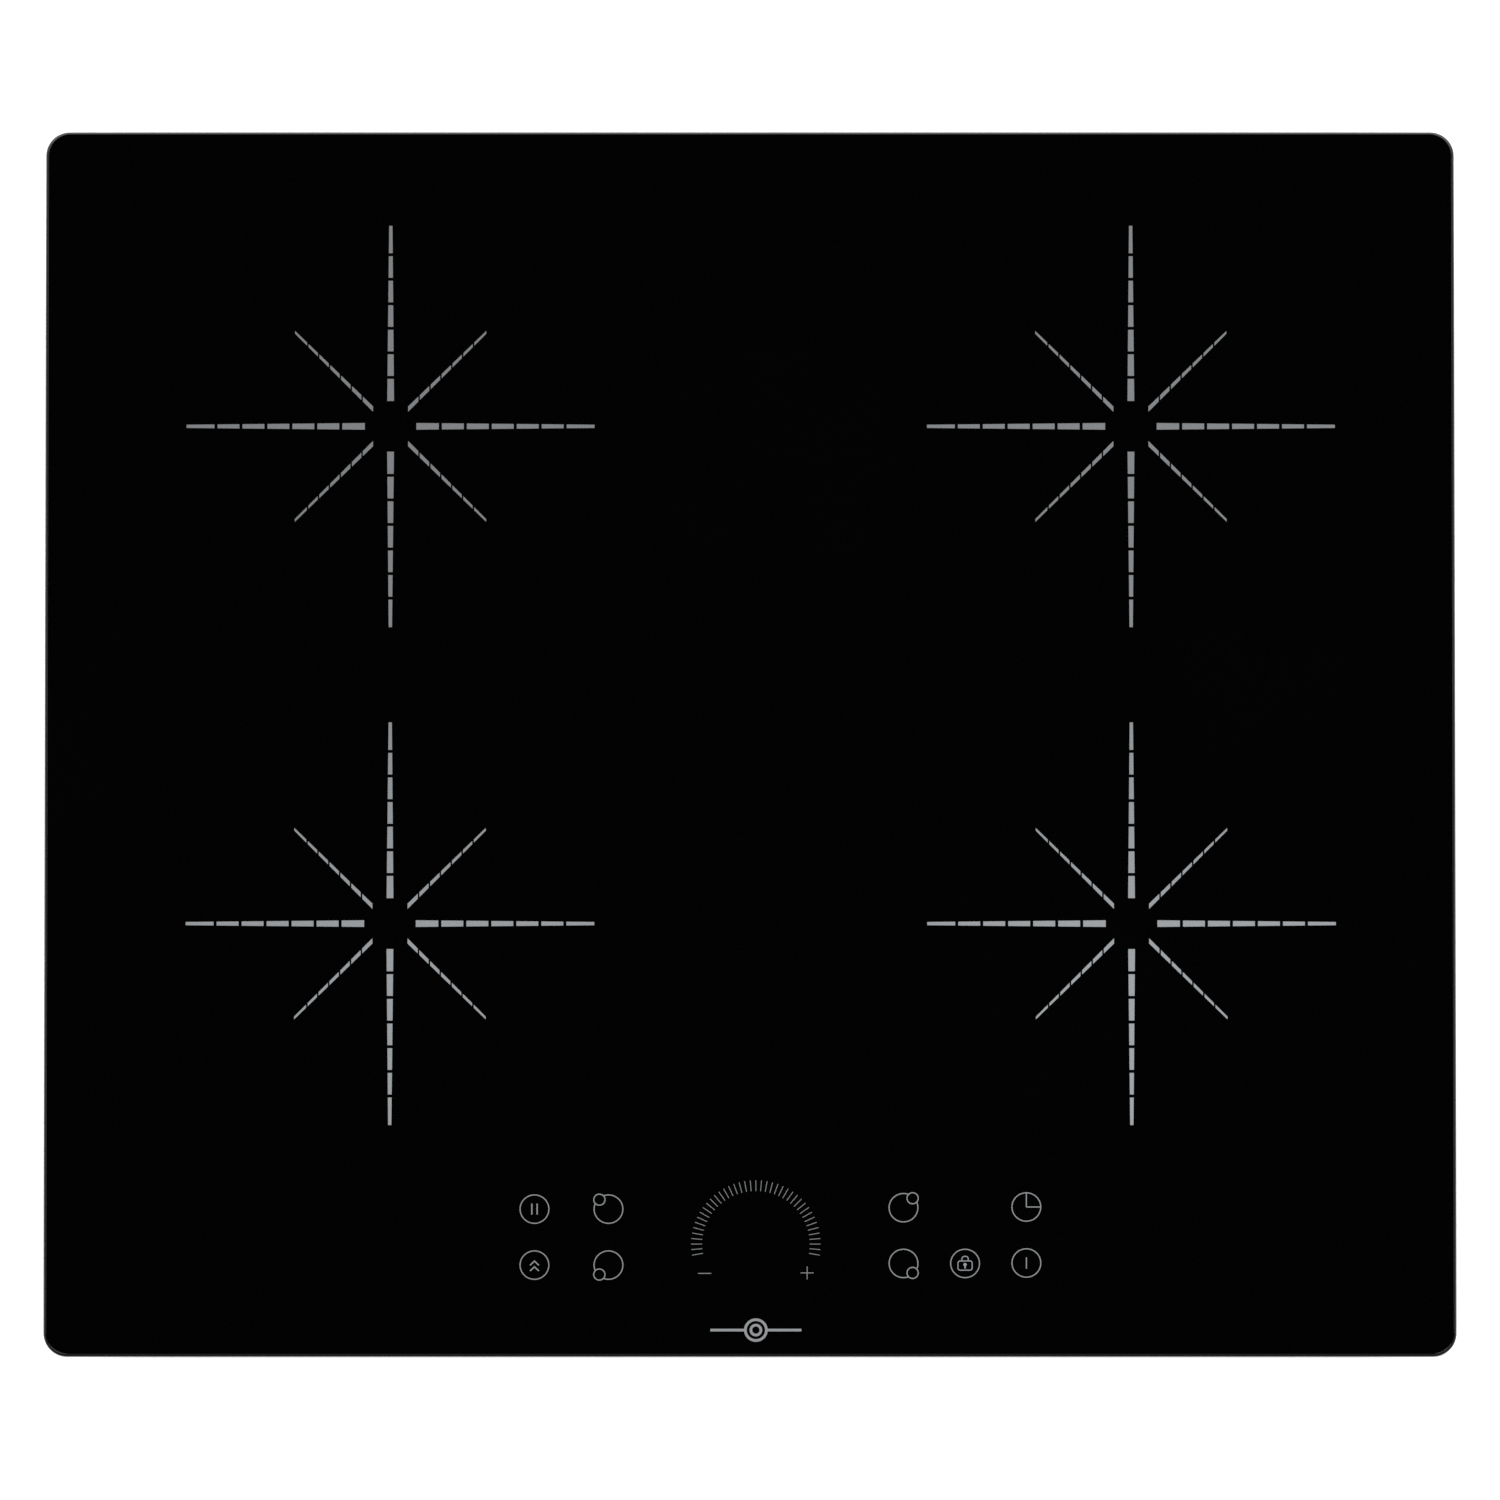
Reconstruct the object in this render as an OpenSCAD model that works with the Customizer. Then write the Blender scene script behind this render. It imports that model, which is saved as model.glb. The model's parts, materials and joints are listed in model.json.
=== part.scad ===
// Built-in induction cooktop with four cooking zones.
// Origin: centre of the footprint, at the lowest face. +Z is up, -Y is the side with the controls.

/* [Glass] */
// Width of the glass plate, left to right
glass_w = 590; // [586:1:600]
// Depth of the glass plate, front to back
glass_d = 520; // [516:1:530]
// Thickness of the glass plate
glass_t = 4; // [3.5:0.5:5]
// Radius of the plate's corners
glass_corner_r = 10; // [4:1:16]
// Width of the ground bevel along the upper edge
glass_bevel = 1; // [0.5:0.25:2]
// Thickness of the printed enamel
print_t = 0.1; // [0.1:0.05:0.2]

/* [Body] */
// Width of the bottom tray, which hangs in a 560 mm cut-out
body_w = 554; // [552:1:556]
// Depth of the bottom tray, which hangs in a 490 mm cut-out
body_d = 484; // [482:1:486]
// Height from the feet to the underside of the glass
body_h = 56; // [56:0.5:58]
// Thickness of the tray's steel sheet
sheet_t = 1; // [0.8:0.1:1.2]
// Height of the embossed feet
foot_h = 2; // [1.5:0.5:2]

/* [Cooking zones] */
// X of the left zones' centres
zone_left_x = -150.5; // [-154:0.5:-148]
// X of the right zones' centres
zone_right_x = 159.5; // [156:0.5:163]
// Y of the rear zones' centres
zone_rear_y = 134.5; // [133:0.5:137]
// Y of the front zones' centres
zone_front_y = -76.8; // [-80:0.2:-74]
// Radius where a star mark's long arms end
star_r = 85.4; // [80:0.2:88]
// Radius where a star mark's diagonal arms end
star_diagonal_r = 56.6; // [54:0.2:60]

/* [Controls] */
// Radius of a key's ring, to the middle of its line
key_r = 6.02; // [5:0.01:7]
// Width of the thin printed lines
line_w = 0.4; // [0.3:0.05:1]
// X of the dial's centre
dial_x = 2.45; // [0:0.05:4]
// Y of the dial's centre
dial_y = -212.6; // [-214:0.1:-212]
// Outer radius of the dial's ticks
dial_r = 27; // [25:0.5:28]
// Number of steps on the dial
dial_steps = 40; // [20:4:40]

/* [Coils] */
// Outer radius of a coil's plastic former
former_r = 87; // [86:0.5:88]
// Pitch of the winding's turns
turn_pitch = 3.2; // [3:0.1:3.2]
// Turns in a winding
turns = 18; // [14:1:18]
// How far a coil carrier can be pressed down
coil_travel = 2.5; // [1:0.1:2.5]

/* [Clamps] */
// Reach of a clamp from its pivot
clamp_reach = 44; // [38:1:44]
// Thickness of the worktop that the clamps are set for
worktop_t = 38; // [38:0.5:39]

/* [Fan] */
// Outer radius of the fan wheel
wheel_r = 46; // [42:1:46]
// Number of blades
blades = 32; // [24:1:36]

/* [Hidden] */
$fn = 48;
eps = 0.1;

// The four zones, in the order rear left, rear right, front left, front right
ZONES = [
    [zone_left_x, zone_rear_y],
    [zone_right_x, zone_rear_y],
    [zone_left_x, zone_front_y],
    [zone_right_x, zone_front_y]
];

// Levels from the bottom up
floor_z = foot_h + sheet_t;
rim_z = body_h - 2;
gasket_w = 10;
gasket_inset = 4;
frame_t = 1;
bond_t = 0.6;
frame_top_z = body_h - bond_t;
frame_gap = 0.2;
frame_w = 10.8;
skirt_h = 10.4;
tray_corner_r = 6;

// Screws through the tray's walls into the frame's skirt
screw_z = 48;
screw_r = 1.5;
screw_hole_r = 1.7;
screw_head_r = 3.4;
screw_head_t = 1.8;
screw_len = 8;
side_screw_y = [-110, 0, 110];
end_screw_x = [-225, 0, 225];

// Clamp pockets in the tray's lower side edges
pocket_top_z = 17;
pocket_depth = 30;
pocket_back = 14;
pocket_front = 50;
clamp_x = body_w / 2 - 13;
clamp_y = 200;
clamp_w = 12;
clamp_t = 2;
clamp_tip_z = rim_z - worktop_t;
clamp_arm_z = clamp_tip_z - 3;
clamp_hub_r = 6;
clamp_hub_z = 9;
clamp_bore_r = 2.05;
clamp_screw_r = 2;
clamp_head_r = 4.5;
clamp_head_t = 3;

// Terminal box, reached from below at the rear right
box_x = 170;
box_w = 83.4;
box_y0 = 174.3;
box_y1 = 235.7;
box_top_z = 30;
box_wall = 2;
bay_y0 = 163;
bay_top_z = 10;
bay_wall = 1.5;
hinge_y = 170.3;
hinge_z = 4.5;
hinge_pin_r = 1.5;
hinge_bore_r = 1.56;
lug_x = 30;
lug_t = 3;
cover_t = 1.2;
cover_z = foot_h - 0.4 - cover_t;
cable_x = 190;
cable_z = 16;
cable_r = 5;

// Coil carriers and the plate below them
plate_z = 32;
plate_t = 1.2;
base_z = 44;
base_t = 1.2;
ferrite_z = base_z + base_t;
ferrite_t = 4;
web_z = ferrite_z + ferrite_t;
web_t = 1.2;
winding_z = web_z + web_t;
winding_t = 4.2;
mica_z = winding_z + winding_t;
mica_t = 0.8;
sensor_top_z = 55.7;
base_r = 84;
winding_r0 = 26;
guide_ring_r = 62;
guide_r = 2.2;
guide_hole_r = 2.6;
guide_angles = [30, 150, 270];
spring_r = 4.2;
spring_wire_r = 0.45;
ferrite_angles = [0, 60, 120, 180, 240, 300];

// Electronics
board_z = 8;
board_t = 1.6;
board_top = board_z + board_t;
board_x0 = 6;
board_x1 = 236;
board_y0 = -124;
board_y1 = 98;
filter_x0 = -225;
filter_x1 = -75;
filter_y0 = 112;
filter_y1 = 215;
sink_x0 = 12;
sink_x1 = 62;
sink_y0 = -110;
sink_y1 = 88;
sink_base_t = 4;
sink_top_z = 30;
sink_fins = 12;
fan_y = 165;
fan_top_z = 29;
fan_wall = 2;
fan_shell_r = 56;
shaft_r = 2.95;
shaft_bore_r = 3;

// Touch control unit below the front edge
unit_x = 13;
unit_y = -204;
unit_w = 238;
unit_d = 50;
unit_z = 43;
unit_wall = 1.5;
touch_board_z = 48.5;
touch_top = touch_board_z + board_t;

// Centres of the touch keys
KEY_PAUSE = [-90, -197.8];
KEY_BOOST = [-90, -221.5];
KEY_REAR_LEFT = [-59.1, -197.8];
KEY_FRONT_LEFT = [-59.1, -221.5];
KEY_REAR_RIGHT = [64.1, -197.2];
KEY_FRONT_RIGHT = [64.1, -220.8];
KEY_LOCK = [89.8, -220.8];
KEY_POWER = [115.4, -220.6];
KEY_TIMER = [115.4, -196.9];
KEYS = [
    KEY_PAUSE, KEY_BOOST, KEY_REAR_LEFT, KEY_FRONT_LEFT, KEY_REAR_RIGHT, KEY_FRONT_RIGHT,
    KEY_LOCK, KEY_POWER, KEY_TIMER
];

// ---- Shared shapes ----

module rounded_rect(w, d, r) {
    square([w - 2 * r, d], center = true);
    square([w, d - 2 * r], center = true);
    for (x = [-1, 1], y = [-1, 1])
        translate([x * (w / 2 - r), y * (d / 2 - r)])
            circle(r);
}

module rounded_slab(w, d, r, z0, z1) {
    translate([0, 0, z0])
        linear_extrude(z1 - z0)
            rounded_rect(w, d, r);
}

// A block given by its lowest and highest corner
module block(low, high) {
    translate(low)
        cube(high - low);
}

module tube(r_out, r_in, z0, z1) {
    translate([0, 0, z0])
        difference() {
            cylinder(h = z1 - z0, r = r_out);
            translate([0, 0, -eps])
                cylinder(h = z1 - z0 + 2 * eps, r = r_in);
        }
}

module disc(r, z0, z1) {
    translate([0, 0, z0])
        cylinder(h = z1 - z0, r = r);
}

module ring_2d(r, w) {
    difference() {
        circle(r + w / 2);
        circle(r - w / 2);
    }
}

// Ring of rectangular section, such as a strip that runs round the glass
module rect_ring(w, d, r, band, z0, z1) {
    difference() {
        rounded_slab(w, d, r, z0, z1);
        rounded_slab(w - 2 * band, d - 2 * band, max(r - band, 1), z0 - eps, z1 + eps);
    }
}

// Points round a wire's section, in the frame of a helix at angle a
function helix_section(r, wire_r, z, a, sides) = [
    for (k = [0:sides - 1])
        let (t = 360 * k / sides, rr = r + wire_r * cos(t))
        [rr * cos(a), rr * sin(a), z + wire_r * sin(t)]
];

// Faces of a closed tube with rings 0 to last of so many points each
function tube_faces(last, sides) = concat(
    [
        for (i = [0:last - 1], k = [0:sides - 1])
            let (n = (k + 1) % sides)
            each [
                [i * sides + k, i * sides + n, (i + 1) * sides + n],
                [i * sides + k, (i + 1) * sides + n, (i + 1) * sides + k]
            ]
    ],
    [[for (k = [sides - 1:-1:0]) k], [for (k = [0:sides - 1]) last * sides + k]]
);

// Round-wire compression spring as one closed tube
module helical_spring(r, wire_r, z0, z1, coils, steps, sides) {
    rings = coils * steps;
    rise = (z1 - z0 - 2 * wire_r) / rings;
    points = [
        for (i = [0:rings])
            each helix_section(r, wire_r, z0 + wire_r + i * rise, 360 * i / steps, sides)
    ];
    polyhedron(points = points, faces = tube_faces(rings, sides), convexity = 10);
}

function unit(v) = v / norm(v);

// Points of a wire's middle line, with each corner replaced by a short curve
function eased(p, bend) = [
    p[0],
    for (i = [1:1:len(p) - 2])
        let (a = p[i] + bend * unit(p[i - 1] - p[i]), c = p[i] + bend * unit(p[i + 1] - p[i]))
        for (t = [0:0.25:1])
            (1 - t) * (1 - t) * a + 2 * t * (1 - t) * p[i] + t * t * c,
    p[len(p) - 1]
];

function tangent(p, i) =
    i == 0 ? unit(p[1] - p[0])
    : i == len(p) - 1 ? unit(p[i] - p[i - 1])
    : unit(unit(p[i + 1] - p[i]) + unit(p[i] - p[i - 1]));

// Direction across the wire, carried along from ring to ring so that the tube doesn't twist
function across(t, u) = unit(u - (u * t) * t);
function carried(p, i) = across(tangent(p, i), i == 0 ? [0.3, 0.5, 0.8] : carried(p, i - 1));

// Wire of radius r through hand-placed points, as one closed tube
module wire(points, r) {
    sides = 8;
    path = eased(points, 3);
    last = len(path) - 1;
    rings = [
        for (i = [0:last])
            let (t = tangent(path, i), u = carried(path, i), v = cross(t, u))
            for (k = [0:sides - 1])
                path[i] + r * (cos(360 * k / sides) * u + sin(360 * k / sides) * v)
    ];
    polyhedron(points = rings, faces = tube_faces(last, sides), convexity = 10);
}

module circuit_board(x0, y0, x1, y1, z, holes) {
    difference() {
        block([x0, y0, z], [x1, y1, z + board_t]);
        for (h = holes)
            translate([h[0], h[1], z - eps])
                cylinder(h = board_t + 2 * eps, r = 1.7);
    }
}

// ---- Glass, print, seal and frame ----

function trapezoid(w, h) = [[-w / 2, 0], [w / 2, 0], [w / 2 - h, h], [-w / 2 + h, h]];

module glass_plate() {
    straight_w = glass_w - 2 * glass_corner_r;
    straight_d = glass_d - 2 * glass_corner_r;
    bevel_z = body_h + glass_t - glass_bevel;
    color([0.02, 0.02, 0.025]) {
        rounded_slab(glass_w, glass_d, glass_corner_r, body_h, bevel_z);
        translate([0, 0, bevel_z]) {
            for (x = [-1, 1], y = [-1, 1])
                translate([x * straight_w / 2, y * straight_d / 2, 0])
                    cylinder(h = glass_bevel, r1 = glass_corner_r, r2 = glass_corner_r - glass_bevel);
            rotate([90, 0, 0])
                translate([0, 0, -straight_d / 2])
                    linear_extrude(straight_d)
                        polygon(trapezoid(glass_w, glass_bevel));
            rotate([90, 0, 90])
                translate([0, 0, -straight_w / 2])
                    linear_extrude(straight_w)
                        polygon(trapezoid(glass_d, glass_bevel));
        }
    }
}

dashes = 7;
arm_r0 = 10.8;
arm_first = 9.4;
arm_pitch = 10.45;
arm_gap = 1.3;
diagonal_r0 = 10.4;
diagonal_first = 6;
diagonal_pitch = 6.44;
diagonal_gap = 0.95;

// Dashes start wide at the star's centre and narrow outwards
function arm_w(r) = 3.02 - 0.0195 * r;
function diagonal_w(r) = 1.75 - 0.0165 * r;
function arm_start(i) = i == 0 ? arm_r0 : arm_r0 + arm_first + arm_gap + (i - 1) * arm_pitch;
function arm_end(i) = i == dashes - 1 ? star_r : arm_start(i + 1) - arm_gap;
function diagonal_start(i) =
    i == 0 ? diagonal_r0 : diagonal_r0 + diagonal_first + diagonal_gap + (i - 1) * diagonal_pitch;
function diagonal_end(i) = i == dashes - 1 ? star_diagonal_r : diagonal_start(i + 1) - diagonal_gap;

// One dash from radius r0 to r1; slant is 1 where its ends are cut along the star's vertical
module dash(r0, r1, w0, w1, slant) {
    polygon([
        [r0 - slant * w0 / 2, -w0 / 2],
        [r1 - slant * w1 / 2, -w1 / 2],
        [r1 + slant * w1 / 2, w1 / 2],
        [r0 + slant * w0 / 2, w0 / 2]
    ]);
}

module star_mark() {
    for (q = [0:3], i = [0:dashes - 1]) {
        rotate(90 * q)
            dash(arm_start(i), arm_end(i), arm_w(arm_start(i)), arm_w(arm_end(i)), 0);
        rotate(45 + 90 * q)
            dash(
                diagonal_start(i), diagonal_end(i),
                diagonal_w(diagonal_start(i)), diagonal_w(diagonal_end(i)),
                q % 2 == 0 ? 1 : -1
            );
    }
}

module printed() {
    translate([0, 0, body_h + glass_t])
        linear_extrude(print_t)
            children();
}

module zone_print() {
    color([0.6, 0.63, 0.65])
        printed()
            for (z = ZONES)
                translate(z)
                    star_mark();
}

module pause_mark() {
    for (x = [-1, 1])
        translate([x * 1.1, 0])
            square([0.5, 4.6], center = true);
}

module boost_mark() {
    for (y = [-1.3, 1.1])
        translate([0, y])
            polygon([[-2, -1], [-1.65, -1.3], [0, 0.25], [1.65, -1.3], [2, -1], [0, 0.9]]);
}

// Ring with a small ring on it that points at the zone's corner
module zone_key_mark(sx, sy) {
    small_r = 2.35;
    place = [sx * 3.8, sy * 4];
    difference() {
        ring_2d(key_r, line_w);
        translate(place)
            circle(small_r);
    }
    translate(place)
        ring_2d(small_r, line_w);
}

module lock_mark() {
    translate([0, -0.9])
        difference() {
            rounded_rect(6.3, 4.3, 1.1);
            rounded_rect(6.3 - 2 * line_w, 4.3 - 2 * line_w, 0.7);
        }
    translate([0, 1.2])
        difference() {
            rounded_rect(3, 4, 1.2);
            rounded_rect(3 - 2 * line_w, 4 - 2 * line_w, 0.8);
            translate([0, -1.5])
                square([4, 3], center = true);
        }
    translate([0, -0.5])
        circle(0.7);
    translate([0, -1.3])
        square([0.6, 1.6], center = true);
}

module timer_mark() {
    translate([0, key_r / 2])
        square([line_w, key_r], center = true);
    translate([key_r / 2, 0])
        square([key_r, line_w], center = true);
}

module dial_marks() {
    tick_len = 4.5;
    tick_w = 0.22;
    sign_w = 0.28;
    translate([dial_x, dial_y])
        for (i = [0:dial_steps])
            rotate(-100 + 200 * i / dial_steps)
                translate([0, dial_r - tick_len / 2])
                    square([tick_w, tick_len], center = true);
    translate([dial_x - 21.4, -225])
        square([5.4, sign_w], center = true);
    translate([dial_x + 21.4, -224.8]) {
        square([5.4, sign_w], center = true);
        square([sign_w, 5.4], center = true);
    }
}

// Two concentric rings with a lead on each side, for a flat coil
module coil_symbol() {
    stroke = 1.1;
    outer_r = 4.4;
    lead_end = 19;
    ring_2d(outer_r, stroke);
    ring_2d(outer_r - 2.3, stroke);
    for (side = [-1, 1])
        translate([side * (outer_r + lead_end) / 2, 0])
            square([lead_end - outer_r, stroke], center = true);
}

module control_print() {
    color([0.62, 0.65, 0.67])
        printed() {
            for (k = [KEY_PAUSE, KEY_BOOST, KEY_LOCK, KEY_POWER, KEY_TIMER])
                translate(k)
                    ring_2d(key_r, line_w);
            translate(KEY_PAUSE)
                pause_mark();
            translate(KEY_BOOST)
                boost_mark();
            translate(KEY_REAR_LEFT)
                zone_key_mark(-1, 1);
            translate(KEY_FRONT_LEFT)
                zone_key_mark(-1, -1);
            translate(KEY_REAR_RIGHT)
                zone_key_mark(1, 1);
            translate(KEY_FRONT_RIGHT)
                zone_key_mark(1, -1);
            translate(KEY_LOCK)
                lock_mark();
            translate(KEY_POWER)
                square([line_w, 4.8], center = true);
            translate(KEY_TIMER)
                timer_mark();
            dial_marks();
            translate([dial_x, -249])
                coil_symbol();
        }
}

module edge_gasket() {
    half_w = glass_w / 2 - gasket_inset;
    half_d = glass_d / 2 - gasket_inset;
    color([0.12, 0.12, 0.12])
        for (side = [-1, 1]) {
            translate([0, side * (half_d - gasket_w / 2), (rim_z + body_h) / 2])
                cube([2 * half_w, gasket_w, body_h - rim_z], center = true);
            translate([side * (half_w - gasket_w / 2), 0, (rim_z + body_h) / 2])
                cube([gasket_w, 2 * (half_d - gasket_w) - 0.4, body_h - rim_z], center = true);
        }
}

frame_out_w = body_w - 2 * (sheet_t + frame_gap);
frame_out_d = body_d - 2 * (sheet_t + frame_gap);

module silicone_bond() {
    color([0.75, 0.75, 0.73])
        rect_ring(frame_out_w - 2, frame_out_d - 2, 5, 8, frame_top_z, body_h);
}

module glass_frame() {
    color([0.7, 0.71, 0.72])
        difference() {
            union() {
                rect_ring(frame_out_w, frame_out_d, 5, frame_w, frame_top_z - frame_t, frame_top_z);
                rect_ring(
                    frame_out_w, frame_out_d, 5, frame_t,
                    frame_top_z - frame_t - skirt_h, frame_top_z - frame_t / 2
                );
            }
            screw_places()
                translate([0, 0, -screw_len - eps])
                    cylinder(h = screw_len + 2, r = screw_hole_r - 0.1);
        }
}

// Puts a child, whose Z points out of the wall, at each screw in the tray's walls
module screw_places() {
    for (x = end_screw_x, side = [-1, 1])
        translate([x, side * body_d / 2, screw_z])
            rotate([-90 * side, 0, 0])
                children();
    for (y = side_screw_y, side = [-1, 1])
        translate([side * body_w / 2, y, screw_z])
            rotate([0, 90 * side, 0])
                children();
}

module body_screws() {
    color([0.75, 0.75, 0.76]) {
        screw_places() {
            difference() {
                cylinder(h = screw_head_t, r = screw_head_r);
                translate([0, 0, screw_head_t])
                    cube([4, 0.9, 1.6], center = true);
                translate([0, 0, screw_head_t])
                    cube([0.9, 4, 1.6], center = true);
            }
            translate([0, 0, -screw_len])
                cylinder(h = screw_len + eps, r = screw_r);
        }
        for (x = [-1, 1], y = [-1, 1])
            translate([x * clamp_x, y * clamp_y, 0]) {
                difference() {
                    disc(clamp_head_r, clamp_hub_z - 0.4 - clamp_head_t, clamp_hub_z - 0.4);
                    translate([0, 0, clamp_hub_z - 0.4 - clamp_head_t])
                        cube([6, 1.2, 3], center = true);
                    translate([0, 0, clamp_hub_z - 0.4 - clamp_head_t])
                        cube([1.2, 6, 3], center = true);
                }
                disc(clamp_screw_r, clamp_hub_z - 0.5, pocket_top_z + 8);
            }
    }
}

// ---- Bottom tray ----

foot_x = 222;
foot_y = 125;
foot_r = 17;

// Puts a child at each clamp pocket, drawn for the one at +X and -Y
module pocket_places() {
    for (x = [0, 1], y = [0, 1])
        mirror([x, 0, 0])
            mirror([0, y, 0])
                translate([clamp_x, -clamp_y, 0])
                    children();
}

module pocket_block(grow, z0, z1) {
    inner_x = body_w / 2 - pocket_depth - clamp_x;
    block(
        [inner_x - grow, -pocket_back - grow, z0],
        [body_w / 2 - clamp_x, pocket_front + grow, z1]
    );
}

module wall_slots(count, pitch, slot_w, z0, z1) {
    for (i = [0:count - 1])
        translate([(i - (count - 1) / 2) * pitch, 0, (z0 + z1) / 2])
            cube([slot_w, 6, z1 - z0], center = true);
}

module bottom_tray() {
    color([0.72, 0.73, 0.74])
        difference() {
            union() {
                difference() {
                    rounded_slab(body_w, body_d, tray_corner_r, foot_h, rim_z);
                    rounded_slab(
                        body_w - 2 * sheet_t, body_d - 2 * sheet_t, tray_corner_r - sheet_t,
                        floor_z, rim_z + 1
                    );
                }
                for (x = [-1, 1], y = [-1, 1])
                    translate([x * foot_x, y * foot_y, 0])
                        disc(foot_r, 0, foot_h + eps);
                pocket_places() {
                    pocket_block(sheet_t, foot_h, pocket_top_z + sheet_t);
                    disc(4, pocket_top_z, pocket_top_z + 6);
                }
            }
            for (x = [-1, 1], y = [-1, 1])
                translate([x * foot_x, y * foot_y, 0])
                    disc(foot_r - sheet_t, sheet_t, floor_z + 1);
            pocket_places() {
                pocket_block(0, -1, pocket_top_z);
                translate([body_w / 2 - clamp_x - 2, 0, 0])
                    block([0, -pocket_back, -1], [5, pocket_front, pocket_top_z]);
                disc(clamp_screw_r + 0.05, pocket_top_z - 1, pocket_top_z + 8);
            }
            // air outlets in the front and rear walls, and slits in the side walls
            for (side = [-1, 1], x = [-112, 112])
                translate([x, side * body_d / 2, 0])
                    wall_slots(20, 7, 3, 24, 42);
            for (side = [-1, 1])
                translate([side * body_w / 2, 0, 0])
                    rotate(90)
                        wall_slots(14, 7, 3, 24, 42);
            // air inlet below the fan
            translate([0, fan_y, floor_z])
                for (a = [0:15:345])
                    rotate(a) {
                        translate([31, 0, 0])
                            cube([14, 3.4, 6], center = true);
                        if (a % 30 == 0)
                            translate([16, 0, 0])
                                cube([10, 3, 6], center = true);
                    }
            block(
                [box_x - box_w / 2 - 0.3, bay_y0 - 0.3, -1],
                [box_x + box_w / 2 + 0.3, box_y1 + 0.3, floor_z + 1]
            );
            translate([cable_x, body_d / 2, cable_z])
                rotate([90, 0, 0])
                    cylinder(h = 6, r = cable_r + 3, center = true);
            screw_places()
                cylinder(h = 6, r = screw_hole_r, center = true);
        }
}

// ---- Swivel clamps: drawn at the origin, with the arm along +Y ----

module clamp() {
    color([0.66, 0.67, 0.69])
        difference() {
            union() {
                disc(clamp_hub_r, clamp_hub_z, clamp_tip_z);
                block(
                    [-clamp_w / 2, 0, clamp_arm_z],
                    [clamp_w / 2, clamp_reach, clamp_arm_z + clamp_t]
                );
                block(
                    [-clamp_w / 2, clamp_reach - 5, clamp_arm_z],
                    [clamp_w / 2, clamp_reach - 3.2, clamp_tip_z]
                );
                block(
                    [-clamp_w / 2, clamp_reach - 1.8, clamp_arm_z],
                    [clamp_w / 2, clamp_reach, clamp_tip_z]
                );
                block(
                    [-1, 4, clamp_arm_z - 1.5],
                    [1, clamp_reach - 6, clamp_arm_z + eps]
                );
            }
            disc(clamp_bore_r, clamp_hub_z - 1, clamp_tip_z + 1);
        }
}

module clamp_front_left() {
    translate([-clamp_x, -clamp_y, 0])
        clamp();
}

module clamp_front_right() {
    translate([clamp_x, -clamp_y, 0])
        clamp();
}

module clamp_rear_left() {
    translate([-clamp_x, clamp_y, 0])
        rotate(180)
            clamp();
}

module clamp_rear_right() {
    translate([clamp_x, clamp_y, 0])
        rotate(180)
            clamp();
}

// ---- Mains connection ----

pillar_x = 13;
pillar_y = 224;

module terminal_box() {
    x0 = box_x - box_w / 2;
    x1 = box_x + box_w / 2;
    color([0.9, 0.9, 0.88])
        difference() {
            union() {
                difference() {
                    block([x0, box_y0, foot_h], [x1, box_y1, box_top_z]);
                    block(
                        [x0 + box_wall, box_y0 + box_wall, foot_h - 1],
                        [x1 - box_wall, box_y1 - box_wall, box_top_z - box_wall]
                    );
                }
                difference() {
                    block([x0, bay_y0, foot_h], [x1, box_y0 + 1, bay_top_z]);
                    block(
                        [x0 + bay_wall, bay_y0 + bay_wall, foot_h - 1],
                        [x1 - bay_wall, box_y0, bay_top_z - bay_wall]
                    );
                }
                for (side = [-1, 1]) {
                    translate([box_x + side * lug_x, 0, 0])
                        block(
                            [-lug_t / 2, bay_y0 + 1, foot_h + 0.2],
                            [lug_t / 2, box_y0 + 0.5, bay_top_z - 1]
                        );
                    translate([cable_x + side * pillar_x, pillar_y, 0])
                        disc(3.5, 20, box_top_z - 1);
                }
            }
            translate([box_x, hinge_y, hinge_z])
                rotate([0, 90, 0])
                    cylinder(h = 2 * lug_x + 2 * lug_t, r = hinge_bore_r, center = true);
            translate([cable_x, box_y1, cable_z])
                rotate([90, 0, 0])
                    cylinder(h = 6, r = cable_r + 1.5, center = true);
            for (side = [-1, 1])
                translate([cable_x + side * pillar_x, pillar_y, 0])
                    disc(1.6, 19, 27);
            for (z = [14, 18, 22])
                translate([x0, 194, z])
                    rotate([0, 90, 0])
                        cylinder(h = 6, r = 1.8, center = true);
        }
}

block_w = 44;
block_y0 = 184;
block_y1 = 206;
block_z0 = 12;
terminal_pitch = 8.4;

module terminal_block() {
    x0 = 138;
    color([0.93, 0.92, 0.88])
        difference() {
            block([x0, block_y0, block_z0], [x0 + block_w, block_y1, box_top_z - box_wall]);
            for (i = [0:4])
                translate([x0 + block_w / 2 + (i - 2) * terminal_pitch, 0, 0]) {
                    translate([0, block_y1 - 9, block_z0 + 7])
                        rotate([-90, 0, 0])
                            cylinder(h = 12, r = 2.4);
                    translate([0, block_y0 + 7, 0])
                        disc(2.2, block_z0 - 1, block_z0 + 8);
                }
        }
}

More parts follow.
